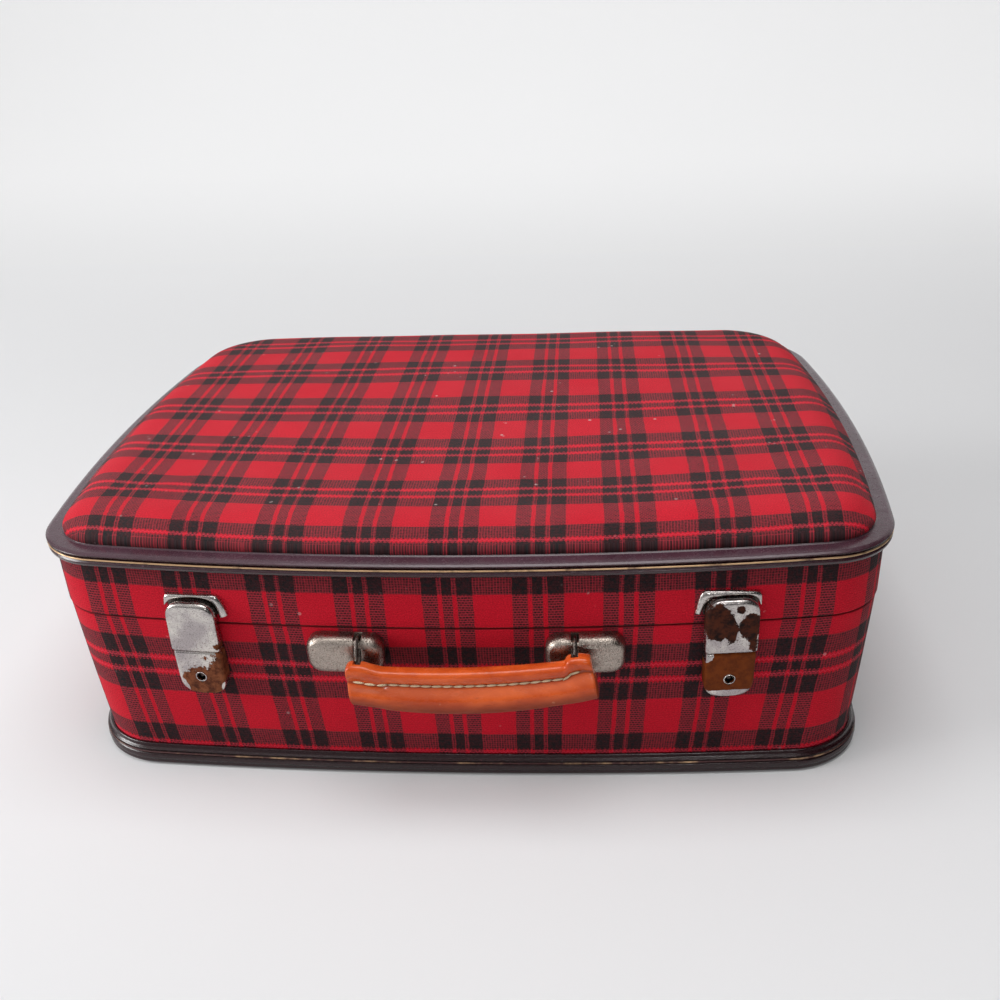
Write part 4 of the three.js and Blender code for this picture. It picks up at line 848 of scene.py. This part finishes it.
# %% Shape the grip
JOURNAL_Y, JOURNAL_Z = -182.959, 76.0
GRIP_CENTRE, GRIP_LENGTH, GRIP_THICKNESS = 9.2, 123.0, 13.6
GRIP_END_HEIGHT, GRIP_MIDDLE_HEIGHT = 21.0, 24.8
GRIP_SAG, GRIP_END_DROP, GRIP_END_LIFT = 6.0, 0.6, 4.6
SLOT_SPOTS, SLOT_HALF, SLOT_FLOOR, SLOT_LEAN = (-44.4, 64.6), 1.9, -5.3, 0.28
LOOP_FADE, LOOP_WALL, FLAP_RISE, FLAP_FADE = 12.0, 0.7, 2.6, 8.0
END_SHRINK, END_ROUND, SECTION_STEPS = 0.94, 0.35, 4
GRIP_SECTION = np.array([
    (0.3, 1), (0.56, 0.88), (0.62, 0.6), (0.44, 0.38), (0.7, 0.14), (1, -0.2), (0.98, -0.56),
    (0.62, -0.9), (0, -1), (-0.62, -0.9), (-0.98, -0.56), (-1, -0.2), (-0.7, 0.14), (-0.4, 0.38),
    (-0.62, 0.6), (-0.56, 0.88), (-0.3, 1),
])


def closed_curve(points, steps):
    """A smooth closed curve through points: on each span p1 to p2 the value is
    a cubic with slopes (p2 - p0) / 2 and (p3 - p1) / 2 at its ends."""
    p = np.asarray(points, float)[:, None]
    before, after, beyond = (np.roll(p, turn, 0) for turn in (1, -1, -2))
    t = np.linspace(0, 1, steps, endpoint=False)[:, None]
    curve = (2 * t**3 - 3 * t**2 + 1) * p + (t**3 - 2 * t**2 + t) * (after - before) / 2
    curve += (-2 * t**3 + 3 * t**2) * after + (t**3 - t**2) * (beyond - p) / 2
    return curve.reshape(-1, 2)


def grip_place(share, out, up):
    """A point of the grip from its share of the length and its section. The
    middle line rises to one end and sags by 6 mm * (1 - (2 share - 1)^2)."""
    arch = 1 - (2 * share - 1) ** 2
    middle = -GRIP_END_DROP + (GRIP_END_LIFT + GRIP_END_DROP) * share - GRIP_SAG * arch
    half_height = (GRIP_END_HEIGHT + (GRIP_MIDDLE_HEIGHT - GRIP_END_HEIGHT) * arch) / 2
    x = GRIP_CENTRE + (share - 0.5) * GRIP_LENGTH
    y = JOURNAL_Y + out * GRIP_THICKNESS / 2
    return stacked(x, y, JOURNAL_Z + middle + up * half_height)


def near_slots(x, flat, fade):
    """1 beside a slot's middle, falling smoothly to 0 over the fade."""
    away = np.min([np.abs(x - spot) for spot in SLOT_SPOTS], axis=0)
    t = np.clip((away - flat) / fade, 0, 1)
    return 1 - t**2 * (3 - 2 * t)


def loop_depth(z):
    """How far out the leather before a ring's wire lies at a height over the
    wire's lower bend. The wire runs back as it rises, and so does the leather."""
    return -np.interp(z, (0.0, 2.0, 4.0, 8.0), (5.7, 5.0, 3.9, 1.8))


def loop_over(grid):
    """Near a slot the upper edge rises as two flaps, the groove under it comes
    out to the loop, y = min(y, loop), and all leans with the ring's wire."""
    x, y, z = grid[..., 0], grid[..., 1] - JOURNAL_Y, grid[..., 2] - JOURNAL_Z
    z = z + FLAP_RISE * near_slots(x, SLOT_HALF, FLAP_FADE) * np.clip((z - 1) / 8, 0, 1)
    share = near_slots(x, SLOT_HALF + 0.8, LOOP_FADE) * (y < 0) * (z > -2)
    y = y + share * np.minimum(loop_depth(z) - y, 0) * (z < 9)
    return stacked(x, JOURNAL_Y + y, JOURNAL_Z + z)


def lean_slots(points):
    """Near a slot the leather leans with the ring's wire, 0.28 mm sideways for
    each mm of height."""
    lean = SLOT_LEAN * near_slots(points[..., 0], SLOT_HALF + 1, 9.0) * (points[..., 2] - JOURNAL_Z)
    return points - stacked(lean, 0, 0)


def slot_rows(grid, rows):
    """In a slot, every point over the floor and behind the front wall drops
    to the floor, and the points keep their order along it."""
    y, z = grid[rows, :, 1] - JOURNAL_Y, grid[rows, :, 2] - JOURNAL_Z
    high = (z > SLOT_FLOOR) & (y > loop_depth(z) + LOOP_WALL)
    along = high.cumsum(1) / high.sum(1, keepdims=True)
    back, front = np.abs(y).max(), loop_depth(SLOT_FLOOR) + LOOP_WALL
    grid[rows, :, 1] = JOURNAL_Y + np.where(high, back + (front - back) * along, y)
    grid[rows, :, 2] = JOURNAL_Z + np.where(high, SLOT_FLOOR, z)


def grip_grid():
    """Sections along the grip. Two close sections at each side of a slot make
    its walls, and between them only the front wall stands over the floor."""
    section = closed_curve(GRIP_SECTION, SECTION_STEPS)
    left = GRIP_CENTRE - GRIP_LENGTH / 2
    slots = [(spot - left) / GRIP_LENGTH for spot in SLOT_SPOTS]
    wall, thin = SLOT_HALF / GRIP_LENGTH, 0.05 / GRIP_LENGTH
    walls = np.add.outer(slots, (-wall - thin, -wall, wall, wall + thin)).ravel()
    stations = np.unique(np.round(np.append(np.linspace(0, 1, 91), walls), 6))
    grid = loop_over(grip_place(stations[:, None], section[None, :, 0], section[None, :, 1]))
    for slot in slots:
        slot_rows(grid, np.flatnonzero(np.abs(stations - slot) <= wall + thin / 2))
    grid = lean_slots(grid)
    ends = grid[[0, -1]]
    middle = ends.mean(1, keepdims=True)
    ends = middle + (ends - middle) * END_SHRINK
    grid[[0, -1], :, 0] += [[END_ROUND], [-END_ROUND]]
    return np.concatenate([ends[:1], grid, ends[1:]])


def leather_finish():
    """Tan leather, varnished: a fine grain of cells, darker in the folds. Painted
    shade darkens the lower edge, a painted reflection lightens the band that
    slopes up under the seam, and a painted shadow lies under the stitches. The
    attribute up runs from -1 to 1."""
    net, place = new_finish("tan_leather", rgb(190, 88, 38))
    cloud = net.noise(net.stretch(place, (1, 2, 2)), 45.0, 5.0, 0.6)
    crease = net.noise(net.stretch(place, (1, 3, 3)), 120.0, 6.0, 0.7)
    up = net.add("Attribute", out="Fac", attribute_name="up")
    base = cloud.step(0.35, 0.7).blend(rgb(188, 66, 16), rgb(222, 94, 34))
    base = (crease.step(0.58, 0.72) * 0.5).blend(base, rgb(138, 46, 12))
    # low is 1 at the lower edge: it paints shade there, towards rgb(112, 36, 6), and also sets
    # roughness and coat.
    low = up.step(0.0, -0.75)
    base = (low * 0.75).blend(base, rgb(112, 36, 6))
    # Painted reflection: the band that slopes up between up -0.2 and 0.34 is lightened towards a
    # pale rose.
    base = (up.step(-0.2, 0.1) * up.step(0.34, 0.2) * 0.22).blend(base, rgb(232, 140, 104))
    # Painted shadow: a thin dark line at up 0.38, in the groove where the stitches sit.
    base = (abs(up - 0.38).step(0.09, 0.02) * 0.6).blend(base, rgb(84, 26, 6))
    dust = net.group(DUST, Place=place, Specks=0.5, Veil=0.05)
    return net.fill(
        Base_Color=dust.blend(base, rgb(220, 170, 130)),
        Roughness=low * 0.35 + crease.step(0.4, 0.7).between(0.2, 0.34),
        Coat_Weight=low.between(0.4, 0.0),
        Normal=net.bump(net.cells(place, 900.0) * 0.25 + crease * 0.8, 0.00012),
        Specular_IOR_Level=0.25,
        Coat_Roughness=0.1,
    )


grip = grid_piece("leather_grip", grip_grid())
grip.data.set_sharp_from_angle(angle=math.radians(50))
levels = closed_curve(GRIP_SECTION, SECTION_STEPS)[:, 1]
levels = np.tile(levels, (len(grip.data.vertices) - 2) // len(levels))
up_mark = grip.data.attributes.new("up", "FLOAT", "POINT")
up_mark.data.foreach_set("value", np.append(levels, [0.0, 0.0]).astype(np.float32))
dress(grip, "grip", leather_finish(), "leather", "handle_grip")

# %% [markdown]
# ## Stitches
# Twenty-one long stitches of cream thread hold the folded edges together. Each
# is a short bead, thick in the middle and half sunk into the leather, and all
# of them are one mesh.

# %% Sew the grip
STITCHES, FIRST_STITCH, LAST_STITCH = 21, 0.03, 0.956
STITCH_OUT, STITCH_UP, STITCH_SLANT = -0.47, 0.4, math.radians(3)
STITCH_LONG, STITCH_THICK, STITCH_RINGS, STITCH_ROUND = 5.7, 0.62, 6, 8


def thread_finish():
    """Waxed cotton thread with a twist that is drawn as fine slanted lines."""
    net, place = new_finish("cream_thread", rgb(226, 206, 168))
    x, _, z = net.split(net.stretch(place, (9000, 9000, 9000)))
    twist = (x + z).sine()
    return net.fill(
        Base_Color=twist.step(-0.4, 0.9).blend(rgb(190, 160, 116), rgb(248, 234, 204)),
        Roughness=net.noise(place, 900.0).between(0.5, 0.75),
        Normal=net.bump(twist, 0.00006),
    )


def bead_row(name, spots, tangents):
    """One bead at each spot, leaning by the slant from the tangent: its radius
    is thick * sin(pi s)^0.5 at the share s of its length."""
    s = np.linspace(0.02, 0.98, STITCH_RINGS)[:, None]
    turn = around(STITCH_ROUND)
    radius = STITCH_THICK * np.sin(math.pi * s) ** 0.5
    shape = stacked((s - 0.5) * STITCH_LONG, radius * np.cos(turn), radius * np.sin(turn))
    x, y, z = shape.reshape(1, -1, 3, 1).transpose(2, 0, 1, 3)
    side = np.cross(tangents, (0, 1, 0))
    side /= np.linalg.norm(side, axis=1, keepdims=True)
    lean = tangents * math.cos(STITCH_SLANT) + side * math.sin(STITCH_SLANT)
    rise = side * math.cos(STITCH_SLANT) - tangents * math.sin(STITCH_SLANT)
    lean, forward, rise = lean[:, None], np.cross(lean, rise)[:, None], rise[:, None]
    points = spots[:, None] + x * lean + y * forward + z * rise
    faces, _ = grid_faces(STITCH_RINGS, STITCH_ROUND, True, False)
    caps = np.arange(STITCH_ROUND)
    caps = np.stack([caps[::-1], caps + (STITCH_RINGS - 1) * STITCH_ROUND])
    starts = np.arange(len(spots)) * points.shape[1]
    every = [(faces + start).tolist() + (caps + start).tolist() for start in starts]
    return mesh_piece(name, points.reshape(-1, 3), sum(every, []))


share = FIRST_STITCH + (np.arange(STITCHES) + 0.5) / STITCHES * (LAST_STITCH - FIRST_STITCH)
share = np.stack([share, share + 0.005])
spots, ahead = lean_slots(loop_over(grip_place(share, STITCH_OUT, STITCH_UP)))
tangents = (ahead - spots) / np.linalg.norm(ahead - spots, axis=1, keepdims=True)
dress(outward(bead_row("grip_stitches", spots, tangents)), "grip", thread_finish(), "leather")

# %% [markdown]
# ## Pressed covers of the latches
# Hasp and key case are pressed from thin sheet: slightly domed, with a round
# edge that catches the light. Rows of points start at the back edge, go up the
# side, turn over the edge by a quarter circle and run on to the middle, or to
# the rim of the keyhole.

# %% Press the covers
LATCH_FRAMES = {
    "left": ((LATCH_LEFT_X, -159.79, 86.5), (0.99589, -0.09061, 0.0), (-0.00603, -0.06623, 0.99779)),
    "right": ((LATCH_RIGHT_X, -159.57, 86.5), (0.99574, 0.09223, 0.0), (0.00603, -0.06514, 0.99786)),
}
HASP_BOXES = {"left": (13.3, -2.1, 26.6, 2.4, 9.0), "right": (13.3, -2.1, 28.5, 2.4, 9.0)}
CASE_BOX = (12.6, -29.8, -2.3, 12.0, 2.0)
LATCH_LOOKS = {"left": (HASP_LEFT, CASE_LEFT), "right": (HASP_RIGHT, CASE_RIGHT)}
HASP_SHAPE = dict(back=3.4, face=8.85, edge=2.1, lean=math.tan(math.radians(4)), dome=0.5)
CASE_SHAPE = dict(back=1.2, face=8.35, edge=1.4, lean=0.0, dome=0.25)
KEYHOLE_UP, KEYHOLE_RADIUS, KEYHOLE_REACH, KEYHOLE_SLOT = -18.0, 2.6, 4.0, 0.75
RIM_RADIUS, RIM_TUBE, RIM_OUT = 2.75, 0.35, 8.5
SHEET = 0.2


def in_frame(place, across, out, up):
    """A point from its distances across, out of and up the wall."""
    origin, right, rise = np.array(place)
    return origin + stacked(across, out, up) @ np.array([right, np.cross(right, rise), rise])


def inset_line(line, distance):
    """A closed line moved inwards, at right angles to its direction."""
    along = np.roll(line, -1, 0) - np.roll(line, 1, 0)
    along /= np.linalg.norm(along, axis=1, keepdims=True)
    return line + distance * stacked(-along[:, 1], along[:, 0])


def pressed_cover(outline, back, face, edge, lean, dome, hole=None):
    """Rows (across, out, up): side, quarter circle of the edge's radius, then
    face + dome * (1 - q^2) with q from the edge to the middle. With a hole the
    same rows follow again 0.2 mm further in, so that the sheet is closed."""
    flat = inset_line(outline, edge)
    inner = np.broadcast_to(flat.mean(0), flat.shape) if hole is None else hole
    rows = [(outline, back), (outline, face - edge)]
    for angle in np.linspace(0, math.pi / 2, 6)[1:]:
        ring = inset_line(outline, edge * (1 - math.cos(angle)))
        rows.append((ring, face - edge * (1 - math.sin(angle))))
    for q in np.linspace(0.85, 0.04 if hole is None else 0.0, 7):
        rows.append((inner + (flat - inner) * q, face + dome * (1 - q**2)))
    line = np.array([row[0] for row in rows])
    out = np.array([row[1] for row in rows])[:, None] - lean * line[:, :, 1]
    outer = stacked(line[:, :, 0], out, line[:, :, 1])
    if hole is None:
        return outer
    under = outer[::-1].copy()
    centre = outer[:, :, ::2].mean((0, 1))
    under[:, :, 1] -= SHEET
    under[:, :, ::2] = centre + (under[:, :, ::2] - centre) * 0.985
    return np.concatenate([outer, under])


def box_line(half, low, high, low_radius, high_radius):
    """A rounded oblong, anticlockwise, as pairs of across and up: half its
    width, its lower and upper edge, and the radius of the corners at each."""
    corners = [(half, low), (half, high), (-half, high), (-half, low)]
    line = rounded(corners, [low_radius, high_radius, high_radius, low_radius], 8)
    dense = []
    for start, stop in zip(line, np.roll(line, -1, 0)):
        count = max(int(np.linalg.norm(stop - start) / 1.5), 1)
        dense.append(start + (stop - start) * np.linspace(0, 1, count, endpoint=False)[:, None])
    return np.concatenate(dense)


def keyhole_line(outline):
    """The keyhole's edge, one point towards each point of the outline: a
    circle of 2.6 mm, and a slot 1.5 mm wide below it."""
    away = outline - (0, KEYHOLE_UP)
    angle = np.arctan2(away[:, 1], away[:, 0])
    slot = np.where(np.sin(angle) < -0.6, KEYHOLE_SLOT / np.maximum(np.abs(np.cos(angle)), 0.19), 0)
    reach = np.maximum(KEYHOLE_RADIUS, np.minimum(slot, KEYHOLE_REACH))
    return stacked(reach * np.cos(angle), KEYHOLE_UP + reach * np.sin(angle))


def latch_piece(name, side, rows, body, material, closed):
    """A piece from rows (across, out, up) in the frame of its latch."""
    grid = in_frame(LATCH_FRAMES[side], *rows.transpose(2, 0, 1))
    return dress(grid_piece(f"{name}_{side}", grid, closed=closed), body, material, "chrome")


case_line = box_line(*CASE_BOX)
case_rows = pressed_cover(case_line, hole=keyhole_line(case_line), **CASE_SHAPE)
turn, tube = around(28), around(8)[:, None]
reach = RIM_RADIUS + RIM_TUBE * np.cos(tube)
rim_up = KEYHOLE_UP + reach * np.sin(turn)
rim_rows = stacked(reach * np.cos(turn), RIM_OUT + RIM_TUBE * np.sin(tube), rim_up)
for side in SIDES:
    hasp_rows = pressed_cover(box_line(*HASP_BOXES[side]), **HASP_SHAPE)
    hasp_look, case_look = LATCH_LOOKS[side]
    cover = latch_piece("hasp_cover", side, hasp_rows, f"hasp_{side}", hasp_look, False)
    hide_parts(f"hasp_{side}")
    latch_piece("case_cover", side, case_rows, "base", case_look, True)
    latch_piece("keyhole_rim", side, rim_rows, "base", KEEPER_CHROME, True)

# %% [markdown]
# ## Keepers
# On the lid, round the top of each hasp, sits a pressed band. At the far end it
# turns down a little, and near the handle it spreads into a flank. Its outer
# and inner lines are (across towards the handle, up) in mm on the lid's wall.
# The left one has sunk by 2 mm. A thin plate closes the arch behind the hasp.

# %% Bend the keepers
KEEPER_FRAMES = {
    "left": ((-134.05, -160.556, 0.4), (0.9954, -0.09575, 0.0), (0.0, 0.0, 1.0)),
    "right": ((136.45, -160.323, 0.4), (0.99524, 0.09747, 0.0), (0.0, 0.0, 1.0)),
}
KEEPER_LINES = {
    "left": (
        [(-15.4, 108.7), (-14.9, 113.2), (-12.8, 114.6), (-6, 114.9), (0, 115.1), (8, 115.1),
         (12.7, 114.8), (14.8, 112.9), (16.6, 108.7), (18.1, 103.6)],
        [(-14.3, 109.0), (-12.6, 110.6), (-9.9, 112.0), (-6.2, 113.0), (0.2, 113.8), (5.5, 113.5),
         (9.9, 111.9), (11.9, 109.7), (13.2, 106.8), (14.2, 102.5)],
    ),
    "right": (
        [(-15.1, 108.7), (-15.0, 113.6), (-12.9, 115.7), (-6.6, 116.4), (0.8, 116.9), (9.6, 117.2),
         (13.3, 117.0), (15.4, 114.7), (16.7, 110.5), (17.8, 105.3)],
        [(-14.1, 109.1), (-12.3, 112.4), (-8.5, 114.0), (-1.2, 114.8), (6.1, 114.4), (9.7, 113.5),
         (11.3, 111.9), (13.2, 109.5), (14.2, 107.3), (15.2, 104.9)],
    ),
}
BAND_SECTION = np.array([
    (0, 0.1), (0, 1.7), (0.06, 2.2), (0.25, 2.9), (0.5, 3.2), (0.8, 3.2), (0.96, 2.9), (1, 2.4),
    (1, 0.1),
])
LINE_STEPS = 5
PLATE_BOX = (13.6, 103.2, 112.8, 1.5, 3.0)


def smooth_line(points):
    """A smooth open curve through points, by the same cubic as for closed ones."""
    p = np.asarray(points, float)
    padded = np.concatenate([2 * p[:1] - p[1:2], p, 2 * p[-1:] - p[-2:-1]])
    return closed_curve(padded, LINE_STEPS)[LINE_STEPS:LINE_STEPS * len(p) + 1]


plate_line = box_line(*PLATE_BOX)
for side, hand in zip(SIDES, (1.0, -1.0)):
    outer, inner = map(smooth_line, KEEPER_LINES[side])
    share, out = BAND_SECTION.T
    across, up = (outer[:, None] + (inner - outer)[:, None] * share[:, None]).transpose(2, 0, 1)
    keeper = grid_piece(f"keeper_band_{side}", in_frame(KEEPER_FRAMES[side], across * hand, out, up))
    keeper.data.set_sharp_from_angle(angle=math.radians(60))
    dress(keeper, "lid", KEEPER_CHROME, "chrome", f"keeper_{side}")
    plate = in_frame(KEEPER_FRAMES[side], plate_line[:, 0], [[0.1], [0.9]], plate_line[:, 1])
    dress(grid_piece(f"keeper_plate_{side}", plate, smooth=False), "lid", DARK_STEEL, "chrome")

# %% [markdown]
# ## Fittings that keep their CAD shape
# Hinges, stays, plates and boards have the right shape already. Their facets
# are welded and their edges get a small bevel, so that they catch the light as
# bent sheet metal does.

# %% Finish the CAD nodes
def soften(piece, width):
    """Welds a CAD node's loose triangles and rounds its sharp edges."""
    piece.modifiers.new("weld", "WELD").merge_threshold = 1e-6
    bevel = piece.modifiers.new("bevel", "BEVEL")
    bevel.limit_method, bevel.angle_limit = "ANGLE", math.radians(35)
    bevel.width, bevel.segments, bevel.harden_normals = width * MM, 2, True
    piece.data.polygons.foreach_set("use_smooth", np.ones(len(piece.data.polygons), bool))


def refinish(material, width, *nodes):
    """A new material on each CAD node, with rounded edges where a width is given."""
    for node in nodes:
        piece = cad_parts[node]
        piece.data.materials.clear()
        piece.data.materials.append(material)
        if width:
            soften(piece, width)


PAIRS = (
    (PLATE_CHROME, 0.3, "handle_plate"),
    (DARK_STEEL, 0, "handle_ring", "latch_key_post"),
    (STEEL, 0.15, "latch_backplate", "hinge_base_leaf", "hinge_lid_leaf"),
    (STEEL, 0.1, "stay_base_bracket", "stay_lid_bracket", "stay_lower_arm", "stay_upper_arm"),
    (STEEL, 0.1, "stay_rivet", "lock_bolt"),
    (STEEL, 0, "hinge_pin", "latch_pin", "hasp_spring"),
)
for side in SIDES:
    hasp_look, case_look = LATCH_LOOKS[side]
    refinish(hasp_look, 0.3, f"hasp_{side}")
    refinish(case_look, 0.3, f"latch_case_{side}")
    for material, width, *stems in PAIRS:
        refinish(material, width, *(f"{stem}_{side}" for stem in stems))
refinish(DARK_STEEL, 0, "handle_core")
refinish(BOARD, 0, "base_bottom_board", "base_wall_board", "lid_wall_board", "lid_top_board")
print("CAD nodes refinished")

# %% [markdown]
# ## Floor and light
# The case stands on a pale floor that curves up behind it. One large soft lamp
# overhead does most of the work, and two weaker ones open the shadows.

# %% Build the studio
FLOOR_FRONT, FLOOR_BEND, BEND_RADIUS, WALL_TOP, HALF_FLOOR = -3.0, 1.6, 1.2, 3.0, 4.0
AIM = (0, 0, 0.1)
LAMPS = (
    ("overhead", (0.1, -0.2, 1.7), 1.2, 17.0),
    ("front", (0.5, -1.8, 1.2), 0.14, 3.4),
    ("left", (-1.8, -0.5, 0.8), 0.8, 25.0),
)
BLACK = (0.0, 0.0, 0.0)


def backdrop():
    """A sheet that lies flat and then rises: a quarter circle joins the floor
    to the wall behind."""
    bend = np.linspace(0, math.pi / 2, 24)
    back = FLOOR_BEND + BEND_RADIUS
    y = np.concatenate([[FLOOR_FRONT], FLOOR_BEND + BEND_RADIUS * np.sin(bend), [back]])
    z = np.concatenate([[0.0], BEND_RADIUS * (1 - np.cos(bend)), [WALL_TOP]])
    x = np.linspace(-HALF_FLOOR, HALF_FLOOR, 9)
    grid = stacked(x, y[:, None], z[:, None])
    faces, _ = grid_faces(*grid.shape[:2], False, False)
    return mesh_piece("floor", grid.reshape(-1, 3) / MM, faces)


def floor_finish():
    """Pale matt paper, lit up a little where the camera, a gloss or a glass
    looks at it, so that it comes out nearly white."""
    net, place = new_finish("floor_paper", (0.8, 0.8, 0.8))
    camera_ray, gloss, glass = net.add(
        "LightPath", out=("Is Camera Ray", "Is Glossy Ray", "Is Transmission Ray")
    )
    seen = camera_ray.larger(gloss).larger(glass)
    glow = net.split(place)[1].step(0.2, 1.8).blend((0.05, 0.05, 0.05), (0.5, 0.5, 0.5))
    return net.fill(
        Base_Color=net.noise(place, 1.2, 2.0).blend((0.69, 0.69, 0.70), (0.73, 0.73, 0.74)),
        Emission_Color=seen.blend(BLACK, glow),
        Emission_Strength=1.0,
        Roughness=0.9,
        Specular_IOR_Level=0.1,
    )


floor = backdrop()
floor.data.materials.append(floor_finish())

for name, spot, size, power in LAMPS:
    lamp = bpy.data.lights.new(name, "AREA")
    lamp.shape, lamp.size, lamp.energy = "SQUARE", size, power
    away = np.array(spot) - AIM
    away = away / np.linalg.norm(away)
    right = np.cross((0, 1, 0.001), away)
    right /= np.linalg.norm(right)
    place_object(name, lamp, spot, right, np.cross(away, right))

world = bpy.data.worlds.new("studio")
stage.world = world
world.use_nodes = True
sky = Net(world.node_tree, world, world.node_tree.nodes["Background"].inputs)
across, _, height = sky.split(sky.add("TexCoord", out="Generated"))
grey = height.step(-0.1, 0.9).blend((0.24, 0.24, 0.25), (0.9, 0.9, 0.9))
sky.fill(Color=across.step(-0.7, 0.6).blend(grey, (0.06, 0.06, 0.06)), Strength=0.75)
stage.view_settings.view_transform = "Standard"
